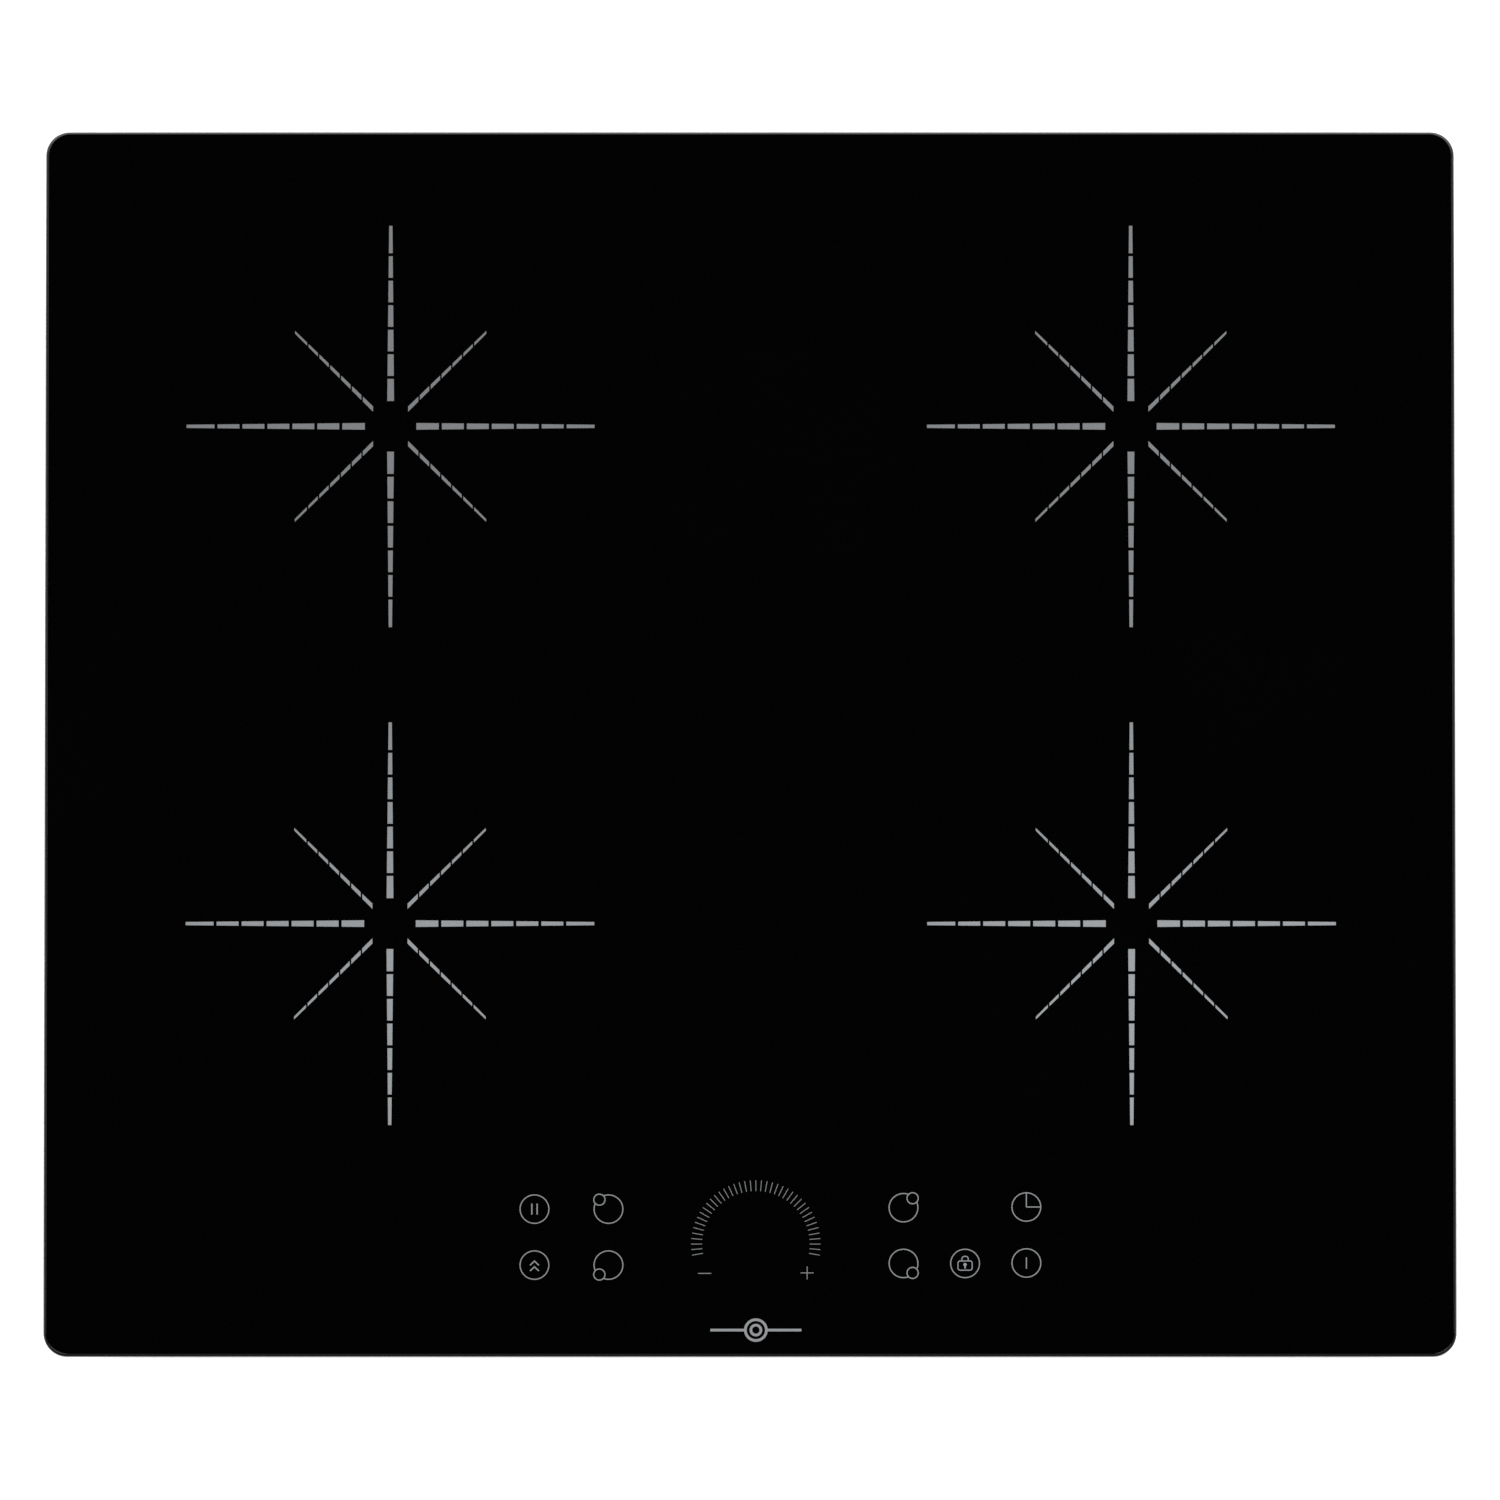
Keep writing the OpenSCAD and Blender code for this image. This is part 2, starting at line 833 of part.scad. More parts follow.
module terminal_cover() {
    half_w = box_w / 2 - 0.7;
    plate_y0 = hinge_y + 3.2;
    plate_y1 = box_y1 - 0.7;
    arm_w0 = 4.5;
    color([0.9, 0.9, 0.88]) {
        block(
            [box_x - half_w, plate_y0, cover_z],
            [box_x + half_w, plate_y1, cover_z + cover_t]
        );
        for (side = [-1, 1]) {
            translate([box_x + side * (lug_x - lug_t / 2 - 0.3 - arm_w0 / 2), 0, 0]) {
                block(
                    [-arm_w0 / 2, hinge_y - 1, cover_z],
                    [arm_w0 / 2, hinge_y + 2.4, hinge_z]
                );
                block(
                    [-arm_w0 / 2, hinge_y, cover_z],
                    [arm_w0 / 2, plate_y0 + eps, cover_z + cover_t]
                );
                translate([0, hinge_y, hinge_z])
                    rotate([0, 90, 0])
                        cylinder(h = arm_w0, r = 2.4, center = true);
            }
            translate([box_x + side * (lug_x - 1), hinge_y, hinge_z])
                rotate([0, 90, 0])
                    cylinder(h = 2 * lug_t, r = hinge_pin_r, center = true);
        }
        block([box_x - 9, plate_y1 - 3.2, cover_z + eps], [box_x + 9, plate_y1 - 1.8, 8]);
        for (i = [-2:2])
            block(
                [box_x + i * 14 - 0.6, plate_y0 + 6, cover_z + eps],
                [box_x + i * 14 + 0.6, plate_y1 - 8, cover_z + cover_t + 1.2]
            );
    }
}

module cable_clamp() {
    color([0.9, 0.9, 0.88])
        difference() {
            translate([cable_x, pillar_y, 0])
                block([-17, -5, 8], [17, 5, 12]);
            translate([cable_x, pillar_y, cable_z])
                rotate([90, 0, 0])
                    cylinder(h = 12, r = cable_r + 0.2, center = true);
            for (side = [-1, 1])
                translate([cable_x + side * pillar_x, pillar_y, 0])
                    disc(1.6, 7, 13);
        }
    color([0.75, 0.75, 0.76])
        for (side = [-1, 1])
            translate([cable_x + side * pillar_x, pillar_y, 0]) {
                disc(3, 5.5, 8);
                disc(1.5, 7.5, 26);
            }
}

module cable_bush() {
    wall_y = body_d / 2;
    color([0.1, 0.1, 0.1])
        translate([cable_x, wall_y, cable_z])
            rotate([-90, 0, 0])
                difference() {
                    union() {
                        disc(10, -3, -sheet_t);
                        disc(cable_r + 3, -sheet_t - eps, eps);
                        disc(10, 0, 2.5);
                    }
                    disc(cable_r, -4, 4);
                }
}

// ---- Plate that carries the coils ----

lead_r = 70.5;
lead_gap = 4;

module shield_plate() {
    half_w = 262;
    y0 = -168;
    y1 = 228;
    wing_y = 140;
    lip_w = 14;
    color([0.82, 0.83, 0.84])
        difference() {
            union() {
                block([-half_w, y0, plate_z], [half_w, y1, plate_z + plate_t]);
                for (side = [0, 1])
                    mirror([side, 0, 0]) {
                        block([half_w - plate_t, -wing_y, floor_z], [half_w, wing_y, plate_z + eps]);
                        for (y = [-wing_y, -15, wing_y - 30])
                            block(
                                [half_w - lip_w, y, floor_z],
                                [half_w - plate_t + eps, y + 30, floor_z + plate_t]
                            );
                    }
            }
            for (z = ZONES)
                translate(z) {
                    for (a = guide_angles)
                        rotate(a)
                            translate([guide_ring_r, 0, 0])
                                disc(guide_hole_r, plate_z - 1, plate_z + plate_t + 1);
                    disc(14, plate_z - 1, plate_z + plate_t + 1);
                    for (a = [0:60:300])
                        rotate(a + 30)
                            translate([34, 0, 0])
                                disc(7, plate_z - 1, plate_z + plate_t + 1);
                    translate([-sign(z[0]) * lead_r, 0, 0])
                        block(
                            [-lead_gap - 3, -3, plate_z - 1],
                            [lead_gap + 3, 3, plate_z + plate_t + 1]
                        );
                }
            for (side = [-1, 1], i = [-4:4])
                if (abs(i) != 2)
                    translate([side * half_w, i * 26, 17])
                        cube([6, 16, 14], center = true);
        }
}

// ---- Coil assemblies: drawn at the origin, at their own height ----

// Section of a flat winding: one tooth for each turn, above and below
module winding() {
    tooth = 0.7;
    top = winding_z + winding_t;
    upper = [
        for (i = [0:turns - 1])
            each [[winding_r0 + i * turn_pitch, top - tooth], [winding_r0 + (i + 0.5) * turn_pitch, top]]
    ];
    outer = winding_r0 + turns * turn_pitch;
    color([0.75, 0.42, 0.25])
        rotate_extrude()
            polygon(concat(
                [[outer, winding_z], [winding_r0, winding_z]],
                upper,
                [[outer, top - tooth]]
            ));
}

module former() {
    hub_r = 20;
    rim_t = 1.6;
    color([0.15, 0.15, 0.16])
        difference() {
            union() {
                disc(former_r, web_z, winding_z);
                tube(former_r, former_r - rim_t, web_z, winding_z + 3.5);
                tube(hub_r, hub_r - 2, web_z, mica_z);
                for (a = guide_angles)
                    rotate(a)
                        translate([guide_ring_r, 0, 0]) {
                            disc(guide_r, 29, web_z + eps);
                            disc(3.6, 30.2, plate_z - 0.4);
                            disc(4.4, ferrite_z, web_z + eps);
                        }
                for (a = ferrite_angles)
                    rotate(a)
                        for (side = [-1, 1])
                            block(
                                [28, side * 8.4 - 0.6, ferrite_z + 1],
                                [74, side * 8.4 + 0.6, web_z + eps]
                            );
            }
            disc(5.8, web_z - 1, winding_z + 1);
            for (a = guide_angles)
                rotate(a)
                    for (side = [-1, 1])
                        rotate(side * 12)
                            block([32, -2, web_z - 1], [50, 2, winding_z + 1]);
        }
}

module ferrites() {
    color([0.2, 0.2, 0.21])
        for (a = ferrite_angles)
            rotate(a)
                block([26, -7.5, ferrite_z], [78, 7.5, web_z]);
}

module coil_base() {
    color([0.8, 0.81, 0.82])
        difference() {
            union() {
                disc(base_r, base_z, ferrite_z);
                tube(base_r, base_r - base_t, base_z, base_z + 3.4);
            }
            disc(12, base_z - 1, ferrite_z + 1);
            for (a = guide_angles)
                rotate(a)
                    translate([guide_ring_r, 0, 0])
                        disc(guide_r + 0.1, base_z - 1, ferrite_z + 1);
        }
}

module mica() {
    color([0.78, 0.72, 0.6])
        tube(86, 10, mica_z, mica_z + mica_t);
}

module sensor() {
    color([0.92, 0.92, 0.9]) {
        disc(5.4, web_z - 3, winding_z + eps);
        disc(9, winding_z, winding_z + 2);
        disc(4.6, winding_z + 2 - eps, sensor_top_z);
    }
}

module springs() {
    color([0.8, 0.8, 0.82])
        for (a = guide_angles)
            rotate(a)
                translate([guide_ring_r, 0, 0])
                    helical_spring(spring_r, spring_wire_r, plate_z + plate_t, base_z, 4, 12, 6);
}

module at_zone(i) {
    translate([ZONES[i][0], ZONES[i][1], 0])
        children();
}

// ---- Electronics ----

board_holes = [for (x = [board_x0 + 5, board_x1 - 5], y = [board_y0 + 5, board_y1 - 5]) [x, y]];
filter_holes = [for (x = [filter_x0 + 5, filter_x1 - 5], y = [filter_y0 + 5, filter_y1 - 5]) [x, y]];
left_board_holes = [for (h = board_holes) [-h[0], h[1]]];

module electronics_carrier() {
    rim = 4;
    wall_t = 1.5;
    color([0.85, 0.85, 0.82])
        difference() {
            union() {
                block([-board_x1 - rim, board_y0 - rim, floor_z], [board_x1 + rim, board_y1 + rim, 4.5]);
                block([filter_x0 - rim, board_y1, floor_z], [filter_x1 + rim, filter_y1 + rim, 4.5]);
                for (x = [-board_x1 - rim, board_x1 + rim - wall_t])
                    block([x, board_y0 - rim, floor_z], [x + wall_t, board_y1 + rim, 12]);
                block(
                    [-board_x1 - rim, board_y0 - rim, floor_z],
                    [board_x1 + rim, board_y0 - rim + wall_t, 12]
                );
                for (h = concat(board_holes, left_board_holes, filter_holes))
                    translate([h[0], h[1], 0]) {
                        disc(3.5, 4, board_z);
                        disc(1.5, 4, board_top + 1.5);
                    }
            }
            for (x = [-180:40:180], y = [-80:40:80])
                translate([x, y, 0])
                    disc(9, floor_z - 1, 5);
        }
}

module power_board_left() {
    color([0.1, 0.35, 0.2])
        circuit_board(-board_x1, board_y0, -board_x0, board_y1, board_z, left_board_holes);
}

module power_board_right() {
    color([0.1, 0.35, 0.2])
        circuit_board(board_x0, board_y0, board_x1, board_y1, board_z, board_holes);
}

module heatsinks() {
    fin_t = 1.6;
    pitch = (sink_x1 - sink_x0 - fin_t) / (sink_fins - 1);
    color([0.78, 0.79, 0.8])
        for (side = [0, 1])
            mirror([side, 0, 0])
                translate([0, sink_y1, board_top])
                    rotate([90, 0, 0])
                        linear_extrude(sink_y1 - sink_y0) {
                            translate([sink_x0, 0])
                                square([sink_x1 - sink_x0, sink_base_t]);
                            for (i = [0:sink_fins - 1])
                                translate([sink_x0 + i * pitch, 0])
                                    square([fin_t, sink_top_z - board_top]);
                        }
}

module can_capacitor(r, h) {
    disc(r, board_top, board_top + h);
    disc(r - 1, board_top, board_top + h + 0.5);
}

module toroid_choke(r, section_r) {
    translate([0, 0, board_top + section_r])
        rotate_extrude()
            translate([r, 0])
                circle(section_r);
}

module board_parts() {
    for (y = [-96, 8, 36])
        block([196, y, board_top], [226, y + 18, board_top + 15]);
    for (y = [-20, 2, 24])
        translate([132, y, 0])
            can_capacitor(9, 15.5);
    translate([168, 24, 0])
        toroid_choke(11, 5);
    for (y = [-95, -62, -30, 2, 34, 66])
        block([sink_x1 + 0.3, y, board_top], [sink_x1 + 5, y + 15.5, board_top + 14]);
    for (place = [[88, 84], [88, -77]])
        block([place[0] - 16, place[1] - 9, board_top], [place[0] + 9, place[1] + 7, board_top + 3]);
    block([66, -122, board_top], [84, -112, board_top + 5]);
    for (y = [-100, -60])
        block([140, y, board_top], [166, y + 22, board_top + 14]);
    for (i = [0:5])
        block([176, -30 + 8 * i, board_top], [182, -26 + 8 * i, board_top + 1.6]);
}

module power_parts() {
    color([0.16, 0.16, 0.18])
        for (side = [0, 1])
            mirror([side, 0, 0])
                board_parts();
}

module filter_board() {
    color([0.12, 0.4, 0.25])
        circuit_board(filter_x0, filter_y0, filter_x1, filter_y1, board_z, filter_holes);
    color([0.8, 0.6, 0.1]) {
        block([-215, 122, board_top - eps], [-183, 140, board_top + 16]);
        block([-215, 186, board_top - eps], [-183, 204, board_top + 16]);
        block([-120, 196, board_top - eps], [-96, 210, board_top + 12]);
        block([-124, 118, board_top - eps], [-100, 146, board_top + 15]);
        translate([-155, 160, 0]) {
            disc(18, board_top - eps, board_top + 1);
            translate([0, 0, 0.8])
                toroid_choke(12, 6);
        }
    }
}

module blower_housing() {
    mouth_x = 60;
    mouth_y = 104;
    color([0.13, 0.13, 0.14])
        difference() {
            union() {
                translate([0, fan_y, 0])
                    disc(fan_shell_r, floor_z, fan_top_z);
                block([-mouth_x, mouth_y, floor_z], [mouth_x, fan_y - 20, fan_top_z]);
            }
            translate([0, fan_y, 0]) {
                disc(fan_shell_r - fan_wall, floor_z + 1.5, fan_top_z - fan_wall);
                disc(34, floor_z - 1, floor_z + 2);
            }
            block(
                [-mouth_x + fan_wall, mouth_y - 1, floor_z + 1.5],
                [mouth_x - fan_wall, fan_y - 20 - fan_wall, fan_top_z - fan_wall]
            );
            block(
                [-40, mouth_y, floor_z + 1.5],
                [40, fan_y - 15, fan_top_z - fan_wall]
            );
        }
}

// Stator with the fixed shaft that the fan wheel turns on
module blower_motor() {
    color([0.6, 0.4, 0.25])
        translate([0, fan_y, 0]) {
            disc(15, 19.5, fan_top_z - fan_wall);
            disc(shaft_r, 8.4, 20);
        }
}

module impeller() {
    blade_r0 = 36;
    hub_r = 20;
    color([0.2, 0.2, 0.22])
        translate([0, fan_y, 0])
            difference() {
                union() {
                    disc(hub_r, 8, 25);
                    tube(wheel_r, hub_r - 1, 8, 9.5);
                    for (i = [0:blades - 1])
                        rotate(360 * i / blades)
                            translate([blade_r0, 0, 0])
                                rotate(35)
                                    block([0, -0.6, 9], [10.6, 0.6, 24]);
                    tube(wheel_r, wheel_r - 1.6, 22.5, 24.5);
                }
                disc(hub_r - 1.8, 18.9, 26);
                disc(shaft_bore_r, 7, 20);
            }
}

// ---- Touch control unit ----

module at_unit() {
    translate([unit_x, unit_y, 0])
        children();
}

module control_carrier() {
    color([0.12, 0.12, 0.13])
        at_unit()
            difference() {
                union() {
                    rounded_slab(unit_w, unit_d, 3, unit_z, body_h - 0.4);
                    for (x = [-1, 1], y = [-1, 1])
                        translate([x * (unit_w / 2 - 12), y * (unit_d / 2 - 8), 0]) {
                            disc(4, floor_z, unit_z + eps);
                            disc(9, floor_z, floor_z + 1.5);
                        }
                }
                difference() {
                    rounded_slab(
                        unit_w - 2 * unit_wall, unit_d - 2 * unit_wall, 2,
                        unit_z + unit_wall, body_h
                    );
                    for (x = [-1, 1], y = [-1, 1])
                        translate([x * (unit_w / 2 - 5), y * (unit_d / 2 - 5), 0])
                            disc(3, unit_z, touch_board_z);
                }
                for (x = [-90:30:90])
                    translate([x, 0, 0])
                        block([-9, -8, unit_z - 1], [9, 8, unit_z + unit_wall + 1]);
            }
}

module control_board() {
    half_w = unit_w / 2 - unit_wall - 1;
    half_d = unit_d / 2 - unit_wall - 1;
    color([0.08, 0.3, 0.16])
        at_unit() {
            block([-half_w, -half_d, touch_board_z], [half_w, half_d, touch_top]);
            block([-62, -9, touch_board_z - 2], [-46, 7, touch_board_z + eps]);
            block([-35, -4, touch_board_z - 4], [-15, 4, touch_board_z + eps]);
            block([24, -6, touch_board_z - 1.5], [36, 6, touch_board_z + eps]);
        }
}

module key_spring() {
    helical_spring(3.9, 0.35, touch_top, body_h - 0.1, 4, 8, 5);
}

module touch_springs() {
    slider_r = 24.6;
    color([0.82, 0.8, 0.7]) {
        for (k = KEYS)
            translate(k)
                key_spring();
        for (a = [-90:30:90])
            translate([dial_x + slider_r * sin(a), dial_y + slider_r * cos(a), 0])
                key_spring();
    }
}

module display_module() {
    color([0.3, 0.05, 0.05])
        translate([dial_x, dial_y + 4, 0]) {
            block([-14, -7, touch_top], [14, 7, body_h - 0.5]);
        }
}

// ---- Wires ----

module wiring_harness() {
    lead_z = 30;
    coil_end_z = base_z - coil_travel - 1;
    board_end_z = board_top + 3;
    mains_y = 233;
    mains_x = 112;
    ribbon_x = 75;
    color([0.75, 0.2, 0.15]) {
        for (z = [14, 18, 22])
            wire([
                [137, 194, z], [mains_x + z / 2, 194, z], [mains_x + z / 2, mains_y, z],
                [-mains_x, mains_y, z], [-mains_x + z / 2 - 5, 213, z]
            ], 1.3);
        for (side = [-1, 1], gap = [-lead_gap, lead_gap]) {
            x = side < 0 ? zone_left_x + lead_r : zone_right_x - lead_r;
            wire([[x + gap, zone_front_y, coil_end_z], [x + gap, zone_front_y, board_end_z]], 1.3);
            wire([
                [x + gap, zone_rear_y, coil_end_z],
                [x + gap, zone_rear_y, lead_z],
                [x + gap, 84, lead_z],
                [x + gap, 84, board_end_z]
            ], 1.3);
            if (gap > 0)
                wire([
                    [side * ribbon_x, -117, board_top + 5],
                    [side * ribbon_x, -117, board_top + 12],
                    [side * ribbon_x, -150, board_top + 12],
                    [side * 5 - 17, -190, 36],
                    [side * 5 - 17, -203, 43.6]
                ], 1.4);
        }
    }
}

// ---- Drawing ----

glass_plate();
zone_print();
control_print();
edge_gasket();
silicone_bond();
glass_frame();
bottom_tray();
body_screws();
clamp_front_left();
clamp_front_right();
clamp_rear_left();
clamp_rear_right();
terminal_box();
terminal_block();
terminal_cover();
cable_clamp();
cable_bush();
shield_plate();
at_zone(0) winding();  // winding_rear_left
at_zone(1) winding();  // winding_rear_right
at_zone(2) winding();  // winding_front_left
at_zone(3) winding();  // winding_front_right
at_zone(0) former();  // former_rear_left
at_zone(1) former();  // former_rear_right
at_zone(2) former();  // former_front_left
at_zone(3) former();  // former_front_right
at_zone(0) ferrites();  // ferrites_rear_left
at_zone(1) ferrites();  // ferrites_rear_right
at_zone(2) ferrites();  // ferrites_front_left
at_zone(3) ferrites();  // ferrites_front_right
at_zone(0) coil_base();  // coil_base_rear_left
at_zone(1) coil_base();  // coil_base_rear_right
at_zone(2) coil_base();  // coil_base_front_left
at_zone(3) coil_base();  // coil_base_front_right
at_zone(0) mica();  // mica_rear_left
at_zone(1) mica();  // mica_rear_right
at_zone(2) mica();  // mica_front_left
at_zone(3) mica();  // mica_front_right
at_zone(0) sensor();  // sensor_rear_left
at_zone(1) sensor();  // sensor_rear_right
at_zone(2) sensor();  // sensor_front_left
at_zone(3) sensor();  // sensor_front_right
at_zone(0) springs();  // springs_rear_left
at_zone(1) springs();  // springs_rear_right
at_zone(2) springs();  // springs_front_left
at_zone(3) springs();  // springs_front_right
electronics_carrier();
power_board_left();
power_board_right();
heatsinks();
power_parts();
filter_board();
blower_housing();
blower_motor();
impeller();
control_carrier();
control_board();
touch_springs();
display_module();
wiring_harness();
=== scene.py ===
"""Looks of the built-in induction cooktop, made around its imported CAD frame."""

import json
import math

import bmesh
import bpy
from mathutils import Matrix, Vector


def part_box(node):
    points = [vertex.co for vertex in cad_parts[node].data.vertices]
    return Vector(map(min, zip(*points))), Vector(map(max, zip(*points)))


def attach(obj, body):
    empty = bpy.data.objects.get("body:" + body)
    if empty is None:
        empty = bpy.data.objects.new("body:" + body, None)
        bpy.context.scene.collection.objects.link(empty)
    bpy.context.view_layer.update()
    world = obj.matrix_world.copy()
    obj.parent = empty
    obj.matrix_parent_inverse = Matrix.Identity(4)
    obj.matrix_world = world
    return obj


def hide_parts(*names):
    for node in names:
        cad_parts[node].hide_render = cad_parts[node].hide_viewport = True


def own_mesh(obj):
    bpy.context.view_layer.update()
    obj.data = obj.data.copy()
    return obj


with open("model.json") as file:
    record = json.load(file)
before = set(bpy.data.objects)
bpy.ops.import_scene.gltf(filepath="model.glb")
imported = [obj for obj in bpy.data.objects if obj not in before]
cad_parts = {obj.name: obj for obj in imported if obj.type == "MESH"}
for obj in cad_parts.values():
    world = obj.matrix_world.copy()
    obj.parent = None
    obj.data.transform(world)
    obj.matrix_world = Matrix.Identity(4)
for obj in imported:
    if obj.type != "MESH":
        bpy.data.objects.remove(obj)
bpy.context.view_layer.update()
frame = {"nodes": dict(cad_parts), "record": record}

MM = 0.001
ZONES = ("rear_left", "rear_right", "front_left", "front_right")
CORNERS = ("front_left", "front_right", "rear_left", "rear_right")

# Picture: angles in degrees, lengths in metres. The camera looks at a point a little in front
# of the plate's middle, and the view is CAMERA_VIEW_WIDTH wide there.
CAMERA_ELEVATION = 80
CAMERA_DISTANCE = 21.2
CAMERA_VIEW_WIDTH = 0.6274
CAMERA_AIM_SHIFT = -0.0031
SENSOR_WIDTH = 36
SUN_AZIMUTHS = (40, 140, 220, 320)
SUN_ELEVATION = 52
SUN_STRENGTH = 1.5
SUN_SPREAD = 40
WALL_LIGHT = (0.30, 0.31, 0.32)
CEILING_LIGHT = (0.004, 0.004, 0.005)
FLOOR_HALF = 40
FLOOR_DROP = 0.0004
FLOOR_GLOW = 0.3

# Glass plate
GLASS_CORNER = 10 * MM
GLASS_BEVEL = 1 * MM
GLASS_ARRIS = 0.4 * MM
GLASS_SOFTENING = 0.15 * MM
GLASS_RIM = 4 * MM
CORNER_STEPS = 16

# Coils and springs. The litz wire twists LITZ_TWISTS times in each turn, and each end of a
# spring lies flat for SPRING_CLOSED_SHARE of its wire.
LITZ_TURNS = 18
LITZ_RADIUS = 1.55 * MM
LITZ_INNER_RADIUS = 26 * MM
LITZ_STRANDS = 4
LITZ_STRAND_DEPTH = 0.04
LITZ_TWISTS = 3
LITZ_HEIGHT_RATIO = 1.2
SPRING_COILS = 4
SPRING_CLOSED_SHARE = 0.14

# Ring chokes of the boards, in millimetres. The two power boards mirror each other. The CAD
# faces within SPACE of a choke's axis, and on the filter board above its FOOT, are left out.
POWER_CHOKE_X = 168
POWER_CHOKE_Y = 24
POWER_CHOKE_Z = 14.6
POWER_CHOKE_SPACE = 17
FILTER_CHOKE_X = -155
FILTER_CHOKE_Y = 160
FILTER_CHOKE_Z = 16.4
FILTER_CHOKE_SPACE = 18.5
FILTER_CHOKE_FOOT = 10.7
CHOKE_WIRE_RADIUS = 0.75 * MM
CHOKE_WINDING_GAP = 0.28

# Kinds of parts on the boards: a look, then the ranges of x, y and z in millimetres where it's
# used. The first kind that holds a face's centre counts. On the power boards x is the distance
# from the middle of the cooktop.
FAR = math.inf
ANY = (-FAR, FAR)
OVER_FILTER_BOARD = (9.65, FAR)
POWER_PARTS = (
    ("can_top", (122, 142), (-30, 34), (24.9, FAR)),
    ("sleeve", (122, 142), (-30, 34), ANY),
    ("film_yellow", (190, 230), ANY, ANY),
    ("relay_white", (138, 168), (-FAR, -30), ANY),
    ("part_plastic", (-FAR, 98), (70, FAR), (-FAR, 13)),
    ("part_plastic", (-FAR, 98), (-92, -66), (-FAR, 13)),
    ("connector", (64, 86), (-FAR, -110), ANY),
)
FILTER_PARTS = (
    ("film_yellow", (-FAR, -180), ANY, OVER_FILTER_BOARD),
    ("part_plastic", (-126, -94), (-FAR, 150), OVER_FILTER_BOARD),
    ("relay_white", (-122, -94), ANY, OVER_FILTER_BOARD),
    ("core", (-175, -135), ANY, OVER_FILTER_BOARD),
)
CONTROL_PARTS = (
    ("part_plastic", ANY, ANY, (-FAR, 48.4)),
)

# Wires: the mains wires reach behind MAINS_Y, stacked from MAINS_Z upwards, and the wires of
# the ribbon reach in front of RIBBON_Y.
MAINS_Y = 228 * MM
MAINS_Z = 12.7 * MM
MAINS_PITCH = 4 * MM
RIBBON_Y = -190 * MM

# Mesh clean-up and rounding
SAME_PLACE = 1e-6
FLAT_ANGLE = math.radians(0.4)
SHARP_ANGLE = math.radians(35)

# Width of the rounded edges in millimetres, and their segments
SOFT_EDGES = {
    "bottom_tray": (0.45, 3),
    "glass_frame": (0.2, 2),
    "edge_gasket": (0.6, 3),
    "silicone_bond": (0.2, 2),
    "body_screws": (0.25, 3),
    "terminal_box": (0.3, 2),
    "terminal_cover": (0.25, 2),
    "cable_clamp": (0.3, 2),
    "cable_bush": (0.5, 3),
    "shield_plate": (0.3, 2),
    "electronics_carrier": (0.3, 2),
    "power_board_left": (0.12, 1),
    "power_board_right": (0.12, 1),
    "heatsinks": (0.2, 2),
    "blower_housing": (0.5, 3),
    "blower_motor": (0.4, 3),
    "impeller": (0.15, 2),
    "control_carrier": (0.3, 2),
    "display_module": (0.3, 2),
}
ZONE_EDGES = {
    "former": (0.25, 2),
    "ferrites": (0.5, 3),
    "coil_base": (0.25, 2),
    "mica": (0.15, 2),
    "sensor": (0.4, 3),
}


# ---- Camera, light and floor ----

def add_camera():
    """A long lens almost straight above, leaning 10 degrees towards the controls."""
    elevation = math.radians(CAMERA_ELEVATION)
    lo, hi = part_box("glass_plate")
    aim = Vector(((lo[0] + hi[0]) / 2, (lo[1] + hi[1]) / 2 + CAMERA_AIM_SHIFT, hi[2]))
    back = Vector((0, -math.cos(elevation), math.sin(elevation)))
    data = bpy.data.cameras.new("camera")
    data.sensor_width = SENSOR_WIDTH
    data.lens = SENSOR_WIDTH * CAMERA_DISTANCE / CAMERA_VIEW_WIDTH
    data.clip_end = 100
    camera = bpy.data.objects.new("camera", data)
    camera.location = aim + back * CAMERA_DISTANCE
    camera.rotation_euler = (-back).to_track_quat("-Z", "Y").to_euler()
    bpy.context.scene.collection.objects.link(camera)
    bpy.context.scene.camera = camera


def add_sun(name, azimuth):
    data = bpy.data.lights.new(name, "SUN")
    data.energy = SUN_STRENGTH
    data.angle = math.radians(SUN_SPREAD)
    light = bpy.data.objects.new(name, data)
    a, e = math.radians(azimuth), math.radians(SUN_ELEVATION)
    back = Vector((math.sin(a) * math.cos(e), -math.cos(a) * math.cos(e), math.sin(e)))
    light.rotation_euler = back.to_track_quat("Z", "Y").to_euler()
    bpy.context.scene.collection.objects.link(light)


def add_world():
    """A dim studio room: soft light from its walls, and a dark ceiling that the glass mirrors."""
    world = bpy.data.worlds.new("studio")
    world.use_nodes = True
    tree = world.node_tree
    direction = tree.nodes.new("ShaderNodeTexCoord")
    split = tree.nodes.new("ShaderNodeSeparateXYZ")
    ramp = tree.nodes.new("ShaderNodeValToRGB")
    tree.links.new(direction.outputs["Generated"], split.inputs[0])
    tree.links.new(split.outputs["Z"], ramp.inputs["Fac"])
    tree.links.new(ramp.outputs["Color"], tree.nodes["Background"].inputs["Color"])
    wall, ceiling = ramp.color_ramp.elements
    wall.position = 0.30
    wall.color = (*WALL_LIGHT, 1)
    ceiling.position = 0.80
    ceiling.color = (*CEILING_LIGHT, 1)
    bpy.context.scene.world = world


